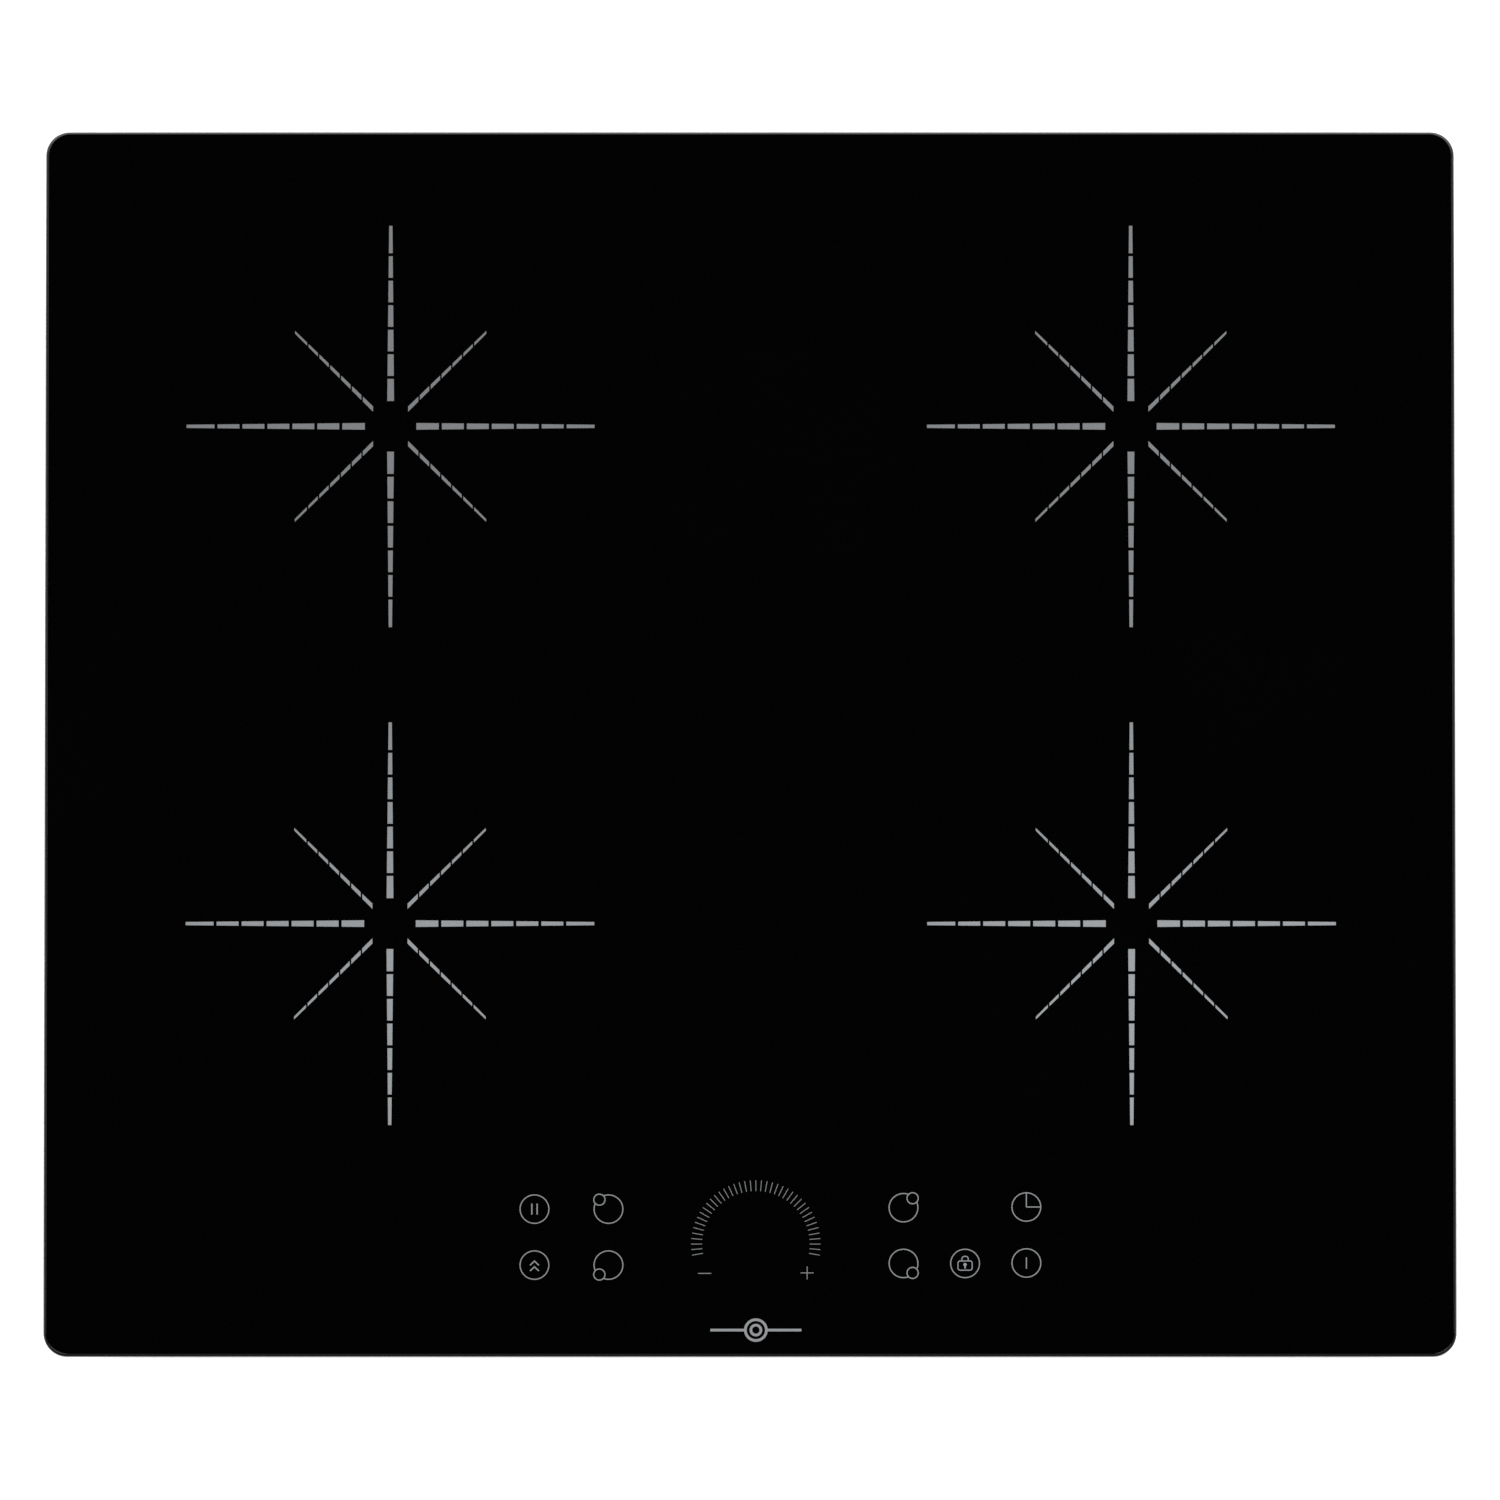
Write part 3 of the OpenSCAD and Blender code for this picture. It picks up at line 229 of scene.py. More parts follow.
def add_floor():
    """A pale floor that glows a little, so that it comes out white."""
    mesh = bpy.data.meshes.new("floor")
    corners = [(FLOOR_HALF * x, FLOOR_HALF * y, 0) for x, y in ((-1, -1), (1, -1), (1, 1), (-1, 1))]
    mesh.from_pydata(corners, [], [(0, 1, 2, 3)])
    floor = bpy.data.objects.new("floor", mesh)
    floor.location.z = -FLOOR_DROP
    mat = bpy.data.materials.new("pale_floor")
    mat.use_nodes = True
    shader = mat.node_tree.nodes["Principled BSDF"]
    shader.inputs["Base Color"].default_value = (0.9, 0.9, 0.9, 1)
    shader.inputs["Emission Color"].default_value = (1, 1, 1, 1)
    shader.inputs["Emission Strength"].default_value = FLOOR_GLOW
    shader.inputs["Roughness"].default_value = 0.9
    shader.inputs["Specular IOR Level"].default_value = 0.1
    mesh.materials.append(mat)
    bpy.context.scene.collection.objects.link(floor)


add_camera()
add_world()
for i, azimuth in enumerate(SUN_AZIMUTHS):
    add_sun(f"soft_light_{i}", azimuth)
add_floor()
bpy.context.scene.view_settings.view_transform = "Standard"


# ---- Materials ----

class Look:
    """A node material that is built up one step at a time from object-space patterns."""

    def __init__(self, name, metallic=0.0):
        self.mat = bpy.data.materials.new(name)
        self.mat.use_nodes = True
        self.tree = self.mat.node_tree
        self.shader = self.tree.nodes["Principled BSDF"]
        self.shader.inputs["Metallic"].default_value = metallic
        self.shader.inputs["IOR"].default_value = 1.5
        self.place = self.tree.nodes.new("ShaderNodeTexCoord").outputs["Object"]

    def stretched(self, x, y, z):
        node = self.tree.nodes.new("ShaderNodeMapping")
        node.inputs["Scale"].default_value = (x, y, z)
        self.tree.links.new(self.place, node.inputs["Vector"])
        return node.outputs["Vector"]

    def noise(self, scale, detail, place=None):
        node = self.tree.nodes.new("ShaderNodeTexNoise")
        node.inputs["Scale"].default_value = scale
        node.inputs["Detail"].default_value = detail
        self.tree.links.new(place or self.place, node.inputs["Vector"])
        return node.outputs["Fac"]

    def cells(self, scale, output="Color"):
        node = self.tree.nodes.new("ShaderNodeTexVoronoi")
        node.inputs["Scale"].default_value = scale
        self.tree.links.new(self.place, node.inputs["Vector"])
        return node.outputs[output]

    def axis(self, letter):
        node = self.tree.nodes.new("ShaderNodeSeparateXYZ")
        self.tree.links.new(self.place, node.inputs[0])
        return node.outputs[letter]

    def ranged(self, value, low, high, to_low, to_high):
        node = self.tree.nodes.new("ShaderNodeMapRange")
        for socket, number in zip(node.inputs[1:5], (low, high, to_low, to_high)):
            socket.default_value = number
        self.tree.links.new(value, node.inputs["Value"])
        return node.outputs["Result"]

    def ramp(self, value, *stops):
        node = self.tree.nodes.new("ShaderNodeValToRGB")
        elements = node.color_ramp.elements
        while len(elements) < len(stops):
            elements.new(0.5)
        for element, (position, colour) in zip(elements, stops):
            element.position = position
            element.color = (*colour, 1)
        self.tree.links.new(value, node.inputs["Fac"])
        return node.outputs["Color"]

    def times(self, first, second):
        node = self.tree.nodes.new("ShaderNodeMix")
        node.data_type = "RGBA"
        node.blend_type = "MULTIPLY"
        node.inputs["Factor"].default_value = 1
        self.tree.links.new(first, node.inputs["A"])
        self.tree.links.new(second, node.inputs["B"])
        return node.outputs["Result"]

    def colour(self, socket):
        self.tree.links.new(socket, self.shader.inputs["Base Color"])

    def roughness(self, value, low, high, from_low=0.3, from_high=0.7):
        socket = self.ranged(value, from_low, from_high, low, high)
        self.tree.links.new(socket, self.shader.inputs["Roughness"])

    def bump(self, height, strength, distance):
        node = self.tree.nodes.new("ShaderNodeBump")
        node.inputs["Strength"].default_value = strength
        node.inputs["Distance"].default_value = distance
        self.tree.links.new(height, node.inputs["Height"])
        self.tree.links.new(node.outputs["Normal"], self.shader.inputs["Normal"])


def grey(level):
    return (level, level, level)


def black_glass():
    look = Look("black_glass_look")
    look.colour(look.ramp(look.noise(700, 1), (0.3, grey(0.0003)), (0.8, grey(0.0006))))
    look.roughness(look.noise(9, 4), 0.03, 0.07)
    return look.mat


def enamel(name, front, rear):
    """Printed enamel with fine grain. Its colour is painted paler towards the front and darker
    towards the rear as painted light falloff, and it is paler towards the right.
    """
    look = Look(name)
    along = look.ranged(look.axis("Y"), -0.22, 0.20, 0, 1)
    # Painted light falloff: the colour runs from the lit front colour to the shaded rear colour
    # along Y
    painted_light_falloff = look.ramp(along, (0, front), (0.30, front), (0.72, rear), (1, rear))
    across = look.ranged(look.axis("X"), -0.25, 0.25, 0, 1)
    beside = look.ramp(across, (0, grey(0.85)), (1, grey(1)))
    grain = look.ramp(look.noise(2600, 1), (0.35, grey(0.93)), (0.65, grey(1)))
    look.colour(look.times(look.times(painted_light_falloff, beside), grain))
    look.roughness(look.noise(900, 2), 0.45, 0.6)
    look.shader.inputs["Specular IOR Level"].default_value = 0.25
    look.bump(look.noise(1800, 2), 0.15, 0.0001)
    return look.mat


def sheet_steel(name, dark, pale, rough, spangle):
    """Zinc-coated sheet: crystals of slightly different shade, with fine rolling marks."""
    look = Look(name, metallic=1.0)
    cells = look.cells(spangle)
    look.colour(look.ramp(cells, (0.1, dark), (0.9, pale)))
    look.roughness(cells, *rough, 0, 1)
    look.bump(look.noise(60, 4, look.stretched(1, 14, 14)), 0.12, 0.0004)
    return look.mat


def metal(name, dark, pale, rough, scale, grain=(1, 12, 1)):
    """Metal with fine streaks, at right angles to the axis where grain's number is largest."""
    look = Look(name, metallic=1.0)
    streaks = look.noise(scale, 5, look.stretched(*grain))
    look.colour(look.ramp(streaks, (0.35, dark), (0.65, pale)))
    look.roughness(streaks, *rough)
    look.bump(streaks, 0.1, 0.0002)
    return look.mat


def even_metal(name, dark, pale, rough, scale):
    return metal(name, dark, pale, rough, scale, grain=(1, 1, 1))


def plastic(name, dark, pale, rough=(0.4, 0.55), scale=1400, depth=0.25):
    """Moulded plastic with a fine eroded grain."""
    look = Look(name)
    look.colour(look.ramp(look.noise(35, 3), (0.3, dark), (0.7, pale)))
    look.roughness(look.noise(120, 3), *rough)
    look.bump(look.noise(scale, 2), depth, 0.0002)
    return look.mat


def sheath(name, dark, pale):
    return plastic(name, dark, pale, rough=(0.35, 0.5), scale=500, depth=0.1)


def glazed(name, dark, pale):
    return plastic(name, dark, pale, rough=(0.25, 0.4), scale=500, depth=0.1)


def foam():
    look = Look("foam_look")
    pores = look.cells(900, "Distance")
    look.colour(look.ramp(pores, (0.1, grey(0.004)), (0.5, (0.022, 0.022, 0.023))))
    look.roughness(pores, 0.85, 1, 0, 1)
    look.bump(pores, 0.6, 0.0003)
    return look.mat


def laminate(name, dark, pale):
    """Lacquered circuit board: tracks show faintly through the lacquer."""
    look = Look(name)
    between = [0.8 * d + 0.2 * p for d, p in zip(dark, pale)]
    tracks = look.tree.nodes.new("ShaderNodeTexBrick")
    look.tree.links.new(look.place, tracks.inputs["Vector"])
    tracks.inputs["Scale"].default_value = 90
    tracks.inputs["Mortar Size"].default_value = 0.06
    tracks.inputs["Color1"].default_value = (*dark, 1)
    tracks.inputs["Color2"].default_value = (*between, 1)
    tracks.inputs["Mortar"].default_value = (*pale, 1)
    look.colour(tracks.outputs["Color"])
    look.roughness(look.noise(60, 2), 0.2, 0.35)
    look.bump(tracks.outputs["Fac"], 0.2, 0.0001)
    return look.mat


# One look for each material slot of the CAD nodes
LOOKS = {
    "black_glass": black_glass(),
    # The zone print's paler front and darker rear colours are painted light falloff
    "zone_enamel": enamel("zone_enamel_look", (0.220, 0.232, 0.241), (0.138, 0.144, 0.150)),
    "control_enamel": enamel("control_enamel_look", (0.190, 0.198, 0.204), (0.190, 0.198, 0.204)),
    "foam_seal": foam(),
    "silicone": plastic(
        "silicone_look", (0.5, 0.5, 0.48), (0.58, 0.58, 0.56),
        rough=(0.3, 0.4), scale=300, depth=0.1,
    ),
    "galvanised_steel": sheet_steel(
        "frame_steel_look", (0.36, 0.365, 0.37), (0.48, 0.485, 0.49),
        rough=(0.34, 0.42), spangle=260,
    ),
    "tray_steel": sheet_steel(
        "tray_steel_look", (0.27, 0.275, 0.28), (0.36, 0.365, 0.37),
        rough=(0.36, 0.44), spangle=230,
    ),
    "zinc_screws": even_metal(
        "zinc_screw_look", (0.4, 0.39, 0.35), (0.52, 0.51, 0.48), rough=(0.18, 0.3), scale=200,
    ),
    "clamp_steel": metal(
        "clamp_steel_look", (0.3, 0.3, 0.31), (0.42, 0.42, 0.43), rough=(0.3, 0.42), scale=90,
    ),
    "white_plastic": plastic("white_plastic_look", (0.5, 0.5, 0.47), (0.56, 0.56, 0.53)),
    "black_plastic": plastic("black_plastic_look", (0.012, 0.012, 0.013), (0.022, 0.022, 0.023)),
    "terminal_ceramic": glazed("terminal_look", (0.68, 0.66, 0.6), (0.78, 0.76, 0.7)),
    "black_rubber": plastic(
        "rubber_look", grey(0.009), grey(0.018), rough=(0.65, 0.8), scale=700, depth=0.3,
    ),
    "bare_aluminium": metal(
        "aluminium_look", (0.4, 0.405, 0.41), (0.5, 0.505, 0.51), rough=(0.34, 0.46), scale=60,
    ),
    "green_laminate": laminate("green_laminate_look", (0.008, 0.07, 0.03), (0.02, 0.15, 0.07)),
    "filter_laminate": laminate("filter_laminate_look", (0.01, 0.08, 0.04), (0.03, 0.17, 0.08)),
    "part_plastic": plastic(
        "part_plastic_look", (0.02, 0.02, 0.024), (0.045, 0.045, 0.05), rough=(0.3, 0.45),
    ),
    "motor_copper": metal(
        "motor_look", (0.42, 0.2, 0.1), (0.62, 0.32, 0.18), rough=(0.3, 0.45), scale=300,
    ),
    "copper_litz": metal(
        "litz_look", (0.3, 0.12, 0.055), (0.45, 0.2, 0.1), rough=(0.3, 0.5), scale=700,
    ),
    "ferrite": plastic(
        "ferrite_look", (0.03, 0.03, 0.032), (0.06, 0.06, 0.062),
        rough=(0.5, 0.7), scale=900, depth=0.4,
    ),
    "mica_sheet": plastic(
        "mica_look", (0.3, 0.25, 0.17), (0.4, 0.35, 0.25), rough=(0.35, 0.5), scale=220, depth=0.2,
    ),
    "sensor_ceramic": glazed("sensor_look", (0.72, 0.72, 0.7), (0.82, 0.82, 0.8)),
    "spring_steel": even_metal("spring_look", grey(0.36), grey(0.5), rough=(0.15, 0.3), scale=150),
    "dark_window": plastic(
        "window_look", (0.012, 0.002, 0.002), (0.02, 0.004, 0.004),
        rough=(0.08, 0.15), scale=300, depth=0.05,
    ),
    "wire_sheath": sheath("wire_look", (0.32, 0.02, 0.015), (0.42, 0.035, 0.025)),
}

# Looks of the smaller parts within a node
PART_LOOKS = {
    "film_yellow": plastic(
        "film_capacitor_look", (0.62, 0.36, 0.02), (0.74, 0.46, 0.04),
        rough=(0.25, 0.4), scale=300, depth=0.1,
    ),
    "sleeve": plastic(
        "sleeve_look", (0.006, 0.01, 0.03), (0.012, 0.02, 0.05),
        rough=(0.2, 0.3), scale=300, depth=0.05,
    ),
    "can_top": even_metal(
        "can_top_look", (0.6, 0.6, 0.61), (0.8, 0.8, 0.81), rough=(0.2, 0.32), scale=300,
    ),
    "relay_white": plastic("relay_look", (0.6, 0.61, 0.62), (0.7, 0.71, 0.72), rough=(0.25, 0.35)),
    "connector": plastic("connector_look", (0.72, 0.7, 0.62), (0.8, 0.78, 0.7), rough=(0.35, 0.5)),
    "enamelled_wire": metal(
        "enamelled_wire_look", (0.5, 0.18, 0.06), (0.75, 0.32, 0.12), rough=(0.18, 0.3), scale=900,
    ),
    "core": plastic("core_look", (0.01, 0.09, 0.05), (0.02, 0.14, 0.08), rough=(0.35, 0.5)),
    "brass": even_metal(
        "brass_look", (0.6, 0.44, 0.18), (0.8, 0.62, 0.3), rough=(0.2, 0.32), scale=200,
    ),
    "brown_wire": sheath("brown_wire_look", (0.09, 0.03, 0.012), (0.13, 0.045, 0.02)),
    "blue_wire": sheath("blue_wire_look", (0.01, 0.06, 0.3), (0.02, 0.09, 0.42)),
    "earth_wire": sheath("earth_wire_look", (0.35, 0.5, 0.02), (0.1, 0.4, 0.03)),
    "sleeved_lead": plastic(
        "sleeved_lead_look", (0.5, 0.48, 0.42), (0.62, 0.6, 0.54),
        rough=(0.5, 0.7), scale=900, depth=0.4,
    ),
    "ribbon_wire": plastic(
        "ribbon_wire_look", (0.28, 0.29, 0.3), (0.38, 0.39, 0.4),
        rough=(0.4, 0.5), scale=500, depth=0.1,
    ),
    "part_plastic": LOOKS["part_plastic"],
}
SLOT_OF = {part["node"]: part["material_slot"] for part in frame["record"]["subparts"]}
BODY_OF = {
    node: body for body, nodes in frame["record"]["behaviour"]["bodies"].items() for node in nodes
}


# ---- Mesh helpers ----

def stand_in(name, mesh, node):
    """Adds a mesh that stands for a CAD node: same body, same slot, its slot's look."""
    piece = bpy.data.objects.new(name, mesh)
    bpy.context.scene.collection.objects.link(piece)
    if not mesh.materials:
        mesh.materials.append(LOOKS[SLOT_OF[node]])
    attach(piece, BODY_OF[node])
    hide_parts(node)
    return piece


def node_bmesh(node):
    """The CAD node's surface with its flat triangles joined into whole faces."""
    source = frame["nodes"][node].data
    mesh = bmesh.new()
    for vertex in source.vertices:
        mesh.verts.new(vertex.co)
    mesh.verts.ensure_lookup_table()
    for polygon in source.polygons:
        try:
            mesh.faces.new([mesh.verts[i] for i in polygon.vertices])
        except ValueError:
            pass
    bmesh.ops.remove_doubles(mesh, verts=mesh.verts, dist=SAME_PLACE)
    bmesh.ops.dissolve_limit(mesh, angle_limit=FLAT_ANGLE, verts=mesh.verts, edges=mesh.edges)
    return mesh


def to_mesh(name, source):
    mesh = bpy.data.meshes.new(name)
    source.to_mesh(mesh)
    source.free()
    for polygon in mesh.polygons:
        polygon.use_smooth = True
    return mesh


def loose_parts(mesh):
    """The groups of faces that hang together, each with its box."""
    mesh.faces.ensure_lookup_table()
    left = set(mesh.faces)
    parts = []
    while left:
        queue = [left.pop()]
        part = list(queue)
        while queue:
            for vertex in queue.pop().verts:
                for face in vertex.link_faces:
                    if face in left:
                        left.remove(face)
                        queue.append(face)
                        part.append(face)
        points = [vertex.co for face in part for vertex in face.verts]
        lo = Vector([min(point[i] for point in points) for i in range(3)])
        hi = Vector([max(point[i] for point in points) for i in range(3)])
        parts.append((part, lo, hi))
    parts.sort(key=lambda found: tuple(round(value, 5) for value in (*found[1], *found[2])))
    return parts


def painted(mesh, slot, look_at):
    """Gives each face the look that look_at finds for its centre, or else the slot's look."""
    names = []
    mesh.materials.append(LOOKS[slot])
    for polygon in mesh.polygons:
        name = look_at(polygon.center / MM, polygon.normal)
        if name is None:
            continue
        if name not in names:
            names.append(name)
            mesh.materials.append(PART_LOOKS[name])
        polygon.material_index = 1 + names.index(name)


def round_edges(piece, width, segments):
    bevel = piece.modifiers.new("edges", "BEVEL")
    bevel.width = width
    bevel.segments = segments
    bevel.limit_method = "ANGLE"
    bevel.angle_limit = SHARP_ANGLE
    bevel.harden_normals = False
    normals = piece.modifiers.new("normals", "WEIGHTED_NORMAL")
    normals.keep_sharp = False


def softened(node, width, segments, look_at=None, without=None):
    """Stands for a CAD node with the same shape, its sharp edges rounded by width."""
    source = node_bmesh(node)
    if without:
        gone = [face for face in source.faces if without(face.calc_center_median() / MM)]
        bmesh.ops.delete(source, geom=gone, context="FACES")
    mesh = to_mesh(node, source)
    if look_at:
        painted(mesh, SLOT_OF[node], look_at)
    piece = stand_in(f"{node}_piece", mesh, node)
    round_edges(piece, width, segments)


def swept(mesh, path, radius, sides, closed=False, material=0):
    """A round tube along a path."""
    count = len(path)
    rings = []
    side = None
    for i, point in enumerate(path):
        before = path[(i - 1) % count] if closed or i else point
        after = path[(i + 1) % count] if closed or i < count - 1 else point
        along = (after - before).normalized()
        if side is None:
            side = along.orthogonal()
        side = (side - along * side.dot(along)).normalized()
        up = along.cross(side)
        rings.append([
            mesh.verts.new(point + (side * math.cos(a) + up * math.sin(a)) * radius)
            for a in (2 * math.pi * k / sides for k in range(sides))
        ])
    pairs = list(zip(rings, rings[1:])) + ([(rings[-1], rings[0])] if closed else [])
    faces = []
    for lower, upper in pairs:
        for k in range(sides):
            n = (k + 1) % sides
            faces.append(mesh.faces.new((lower[k], lower[n], upper[n], upper[k])))
    if not closed:
        faces.append(mesh.faces.new(list(reversed(rings[0]))))
        faces.append(mesh.faces.new(rings[-1]))
    for face in faces:
        face.material_index = material


def rounded_loop(mesh, half_w, half_d, radius, z):
    """One closed ring of vertices along a rounded rectangle."""
    ring = []
    for corner, (sx, sy) in enumerate(((1, 1), (-1, 1), (-1, -1), (1, -1))):
        for i in range(CORNER_STEPS + 1):
            angle = math.radians(90 * corner + 90 * i / CORNER_STEPS)
            ring.append(mesh.verts.new((
                sx * (half_w - radius) + radius * math.cos(angle),
                sy * (half_d - radius) + radius * math.sin(angle),
                z,
            )))
    return ring


def bridge(mesh, lower, upper):
    for i in range(len(lower)):
        j = (i + 1) % len(lower)
        mesh.faces.new((lower[i], lower[j], upper[j], upper[i]))


# ---- Glass, coils and springs ----

def glass_piece():
    """The glass plate: a ground bevel above, an arris below, and no edge that is quite sharp."""
    lo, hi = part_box("glass_plate")
    half_w, half_d = (hi[0] - lo[0]) / 2, (hi[1] - lo[1]) / 2
    bottom, top = lo[2], hi[2]
    arris, bevel, soft = GLASS_ARRIS, GLASS_BEVEL, GLASS_SOFTENING
    profile = [
        (arris, bottom),
        (arris * 0.3, bottom + arris * 0.3),
        (0, bottom + arris),
        (0, top - bevel - soft),
        (soft * 0.35, top - bevel + soft * 0.35),
        (bevel - soft * 0.35, top - soft * 0.35),
        (bevel + soft, top),
    ]
    mesh = bmesh.new()

    def loop(inset, z):
        return rounded_loop(mesh, half_w - inset, half_d - inset, GLASS_CORNER - inset, z)

    rings = [loop(inset, z) for inset, z in profile]
    for lower, upper in zip(rings, rings[1:]):
        bridge(mesh, lower, upper)
    inner = loop(GLASS_RIM, top)
    under = loop(GLASS_RIM, bottom)
    bridge(mesh, rings[-1], inner)
    bridge(mesh, under, rings[0])
    mesh.faces.new(inner)
    mesh.faces.new(list(reversed(under)))
    piece = stand_in("glass_plate_piece", to_mesh("glass", mesh), "glass_plate")
    piece.modifiers.new("normals", "WEIGHTED_NORMAL")


def winding_piece(zone):
    """A flat spiral of twisted litz wire inside the CAD winding's box."""
    node = f"winding_{zone}"
    lo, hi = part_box(node)
    centre = Vector(((lo[0] + hi[0]) / 2, (lo[1] + hi[1]) / 2, (lo[2] + hi[2]) / 2))
    outer = (hi[0] - lo[0]) / 2 - LITZ_RADIUS
    inner = LITZ_INNER_RADIUS + LITZ_RADIUS
    steps, sides = 48, 8
    pitch = (outer - inner) / LITZ_TURNS
    mesh = bmesh.new()
    rings = []
    for i in range(LITZ_TURNS * steps + 1):
        angle = 2 * math.pi * i / steps
        radius = inner + pitch * i / steps
        out = Vector((math.cos(angle), math.sin(angle), 0))
        ring = []
        for k in range(sides):
            turn = 2 * math.pi * k / sides + angle * LITZ_TWISTS
            bulge = LITZ_RADIUS * (1 + LITZ_STRAND_DEPTH * math.cos(LITZ_STRANDS * turn))
            ring.append(mesh.verts.new(
                centre + out * (radius + bulge * math.cos(turn))
                + Vector((0, 0, bulge * LITZ_HEIGHT_RATIO * math.sin(turn)))
            ))
        rings.append(ring)
    for lower, upper in zip(rings, rings[1:]):
        for k in range(sides):
            n = (k + 1) % sides
            mesh.faces.new((lower[k], upper[k], upper[n], lower[n]))
    mesh.faces.new(rings[0])
    mesh.faces.new(list(reversed(rings[-1])))
    bmesh.ops.recalc_face_normals(mesh, faces=mesh.faces)
    stand_in(f"{node}_piece", to_mesh(node, mesh), node)


def spring_piece(node, wire_r):
    """Round-wire compression springs with closed ends in place of the CAD node's springs."""
    source = node_bmesh(node)
    mesh = bmesh.new()
    steps = 28
    count = SPRING_COILS * steps
    for _, lo, hi in loose_parts(source):
        radius = (hi[0] - lo[0]) / 2 - wire_r
        middle = (lo + hi) / 2
        rise = hi[2] - lo[2] - 2 * wire_r
        path = []
        for i in range(count + 1):
            climb = (i / count - SPRING_CLOSED_SHARE) / (1 - 2 * SPRING_CLOSED_SHARE)
            angle = 2 * math.pi * i / steps
            path.append(Vector((
                middle[0] + radius * math.cos(angle),
                middle[1] + radius * math.sin(angle),
                lo[2] + wire_r + rise * min(max(climb, 0), 1),
            )))
        swept(mesh, path, wire_r, 8)
    source.free()
    return stand_in(f"{node}_piece", to_mesh(node, mesh), node)


# ---- Boards, terminals and wires ----

def wound_choke(name, node, centre, ring_r, section_r, turns):
    """A ring core with one layer of enamelled wire wound around each half."""
    wire_r = CHOKE_WIRE_RADIUS
    core_r = section_r - 2 * wire_r
    mesh = bmesh.new()
    swept(mesh, [
        centre + Vector((math.cos(a), math.sin(a), 0)) * ring_r
        for a in (2 * math.pi * i / 48 for i in range(48))
    ], core_r, 16, closed=True)
    steps = 14
    count = turns * steps
    for half in (0, 1):
        path = []
        for i in range(count + 1):
            a = math.pi * half + CHOKE_WINDING_GAP + (math.pi - 2 * CHOKE_WINDING_GAP) * i / count
            b = 2 * math.pi * i / steps
            out = Vector((math.cos(a), math.sin(a), 0))
            path.append(
                centre + out * (ring_r + (core_r + wire_r) * math.cos(b))
                + Vector((0, 0, (core_r + wire_r) * math.sin(b)))
            )
        swept(mesh, path, wire_r, 8, material=1)
    bmesh.ops.recalc_face_normals(mesh, faces=mesh.faces)
    data = to_mesh(name, mesh)
    data.materials.append(PART_LOOKS["core"])
    data.materials.append(PART_LOOKS["enamelled_wire"])
    stand_in(name, data, node)


def in_power_choke(centre):
    away = math.hypot(abs(centre[0]) - POWER_CHOKE_X, centre[1] - POWER_CHOKE_Y)
    return away < POWER_CHOKE_SPACE


def in_filter_choke(centre):
    away = math.hypot(centre[0] - FILTER_CHOKE_X, centre[1] - FILTER_CHOKE_Y)
    return away < FILTER_CHOKE_SPACE and centre[2] > FILTER_CHOKE_FOOT


def found_in(kinds, point):
    """The look of the first kind of part whose ranges hold a point, or None."""
    for look, *ranges in kinds:
        if all(low < value < high for value, (low, high) in zip(point, ranges)):
            return look
    return None


def power_part_look(centre, normal):
    return found_in(POWER_PARTS, (abs(centre[0]), centre[1], centre[2]))


def filter_part_look(centre, normal):
    return found_in(FILTER_PARTS, centre)


def control_part_look(centre, normal):
    return found_in(CONTROL_PARTS, centre)


def terminal_part_look(centre, normal):
    """Brass shows where the clamping screws and wire holes go into the block."""
    lo, hi = ([value / MM for value in corner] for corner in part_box("terminal_block"))
    upright = abs(normal[2]) < 0.9
    off_floor = centre[2] - lo[2]
    off_sides = min(min(centre[i] - lo[i], hi[i] - centre[i]) for i in (0, 1))
    return "brass" if upright and off_floor > 0.3 and off_sides > 0.6 else None


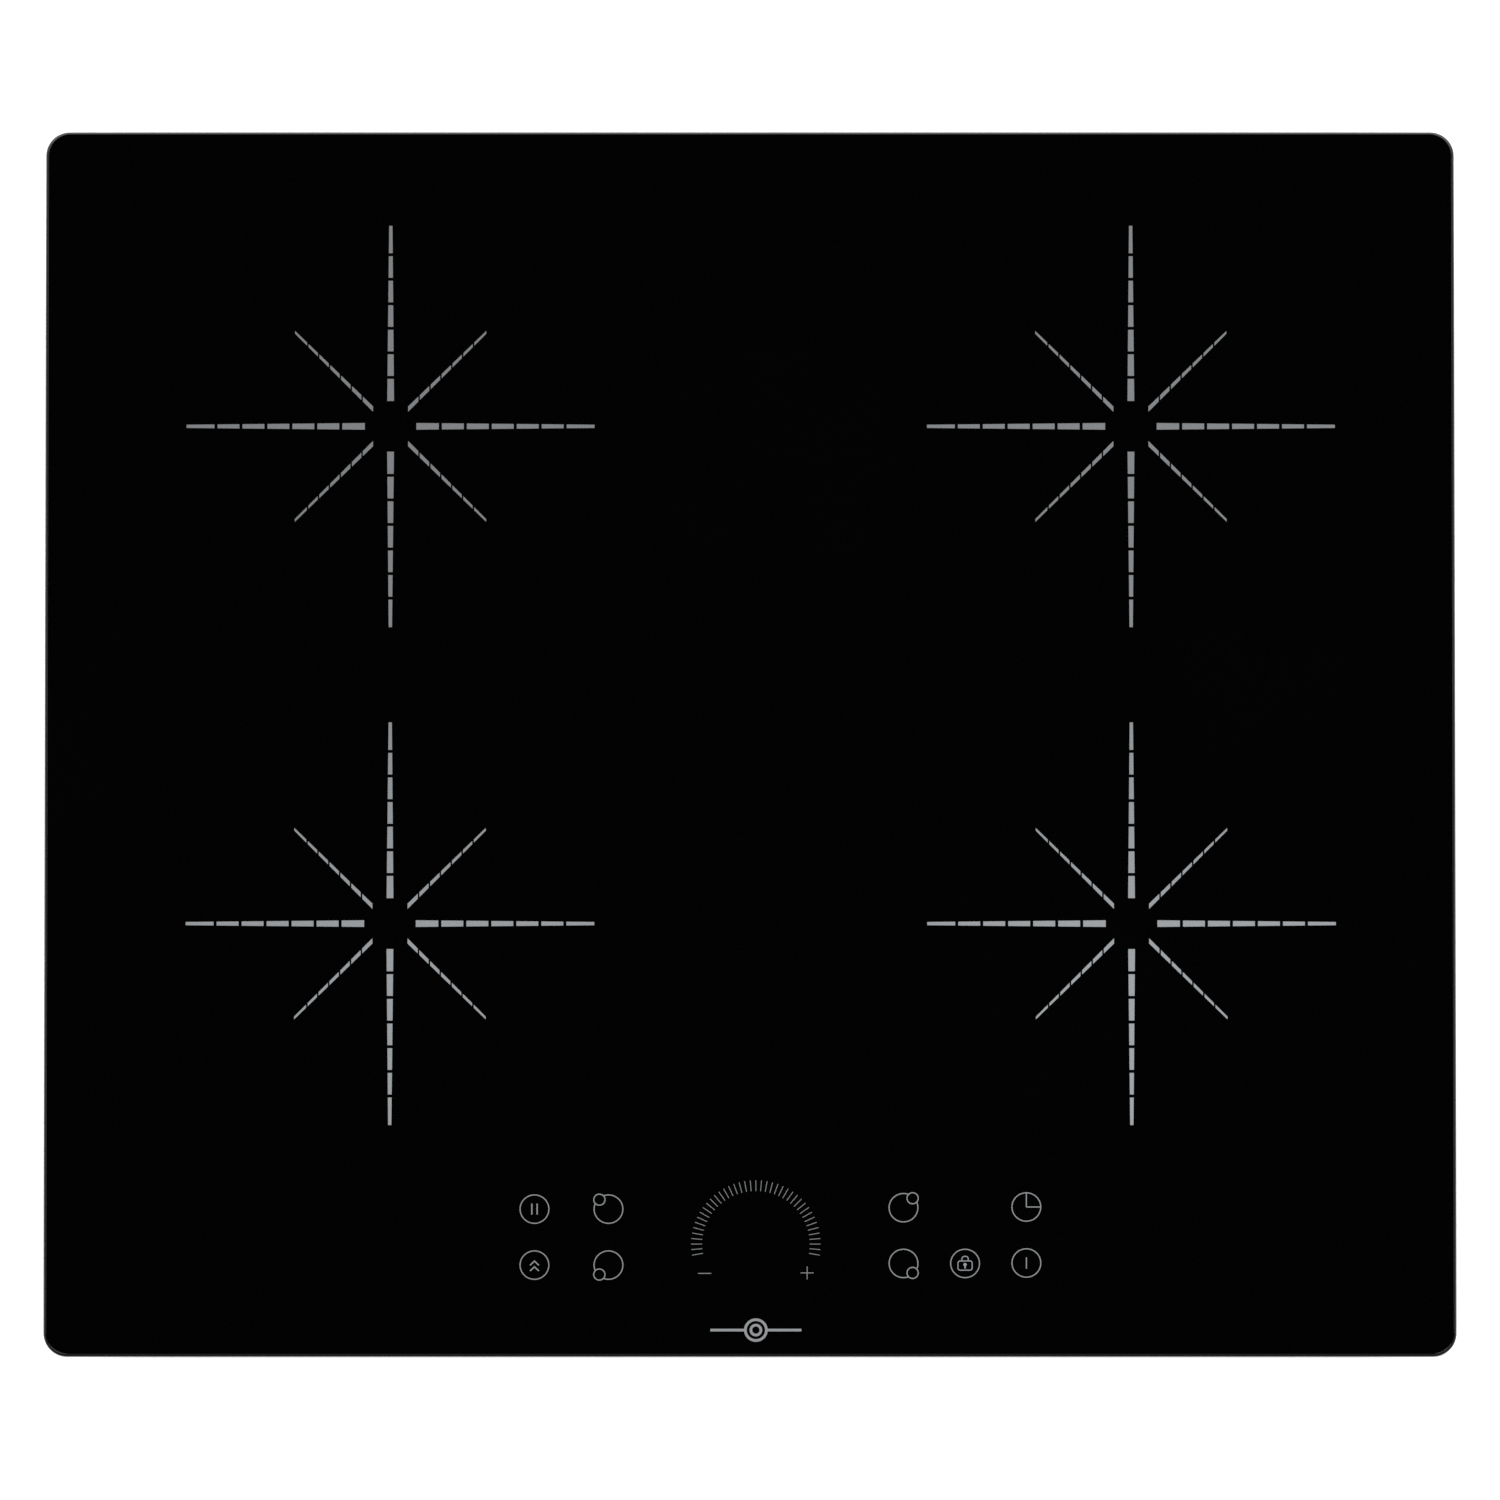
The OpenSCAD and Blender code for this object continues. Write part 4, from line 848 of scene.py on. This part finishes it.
def wire_piece():
    """The harness with a sheath colour for each wire."""
    mesh = bmesh.new()
    mesh.from_mesh(frame["nodes"]["wiring_harness"].data)
    bmesh.ops.remove_doubles(mesh, verts=mesh.verts, dist=SAME_PLACE)
    mains = ["brown_wire", "blue_wire", "earth_wire"]
    names = mains + ["sleeved_lead", "ribbon_wire"]
    for part, lo, hi in loose_parts(mesh):
        if hi[1] > MAINS_Y:
            name = mains[min(2, max(0, round((lo[2] - MAINS_Z) / MAINS_PITCH)))]
        elif lo[1] < RIBBON_Y:
            name = "ribbon_wire"
        else:
            name = "sleeved_lead"
        for face in part:
            face.material_index = names.index(name)
    data = to_mesh("wiring_harness", mesh)
    for name in names:
        data.materials.append(PART_LOOKS[name])
    piece = stand_in("wiring_harness_piece", data, "wiring_harness")
    smooth = piece.modifiers.new("round", "SUBSURF")
    smooth.levels = 1
    smooth.render_levels = 1


# ---- Pieces ----

glass_piece()
for node, (width, segments) in SOFT_EDGES.items():
    softened(node, width * MM, segments)
for corner in CORNERS:
    softened(f"clamp_{corner}", 0.35 * MM, 3)
for zone in ZONES:
    winding_piece(zone)
    for kind, (width, segments) in ZONE_EDGES.items():
        softened(f"{kind}_{zone}", width * MM, segments)
    springs = spring_piece(f"springs_{zone}", 0.45 * MM)
    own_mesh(springs)
spring_piece("touch_springs", 0.35 * MM)
softened("power_parts", 0.4 * MM, 3, power_part_look, in_power_choke)
for name, side in (("choke_left", -1), ("choke_right", 1)):
    middle = Vector((side * POWER_CHOKE_X * MM, POWER_CHOKE_Y * MM, POWER_CHOKE_Z * MM))
    wound_choke(name, "power_parts", middle, ring_r=11 * MM, section_r=5 * MM, turns=11)
softened("filter_board", 0.15 * MM, 2, filter_part_look, in_filter_choke)
middle = Vector((FILTER_CHOKE_X * MM, FILTER_CHOKE_Y * MM, FILTER_CHOKE_Z * MM))
wound_choke("filter_choke", "filter_board", middle, ring_r=12 * MM, section_r=6 * MM, turns=13)
softened("control_board", 0.12 * MM, 1, control_part_look)
softened("terminal_block", 0.3 * MM, 2, terminal_part_look)
wire_piece()

for node, cad in frame["nodes"].items():
    cad.data.materials.clear()
    cad.data.materials.append(LOOKS[SLOT_OF[node]])
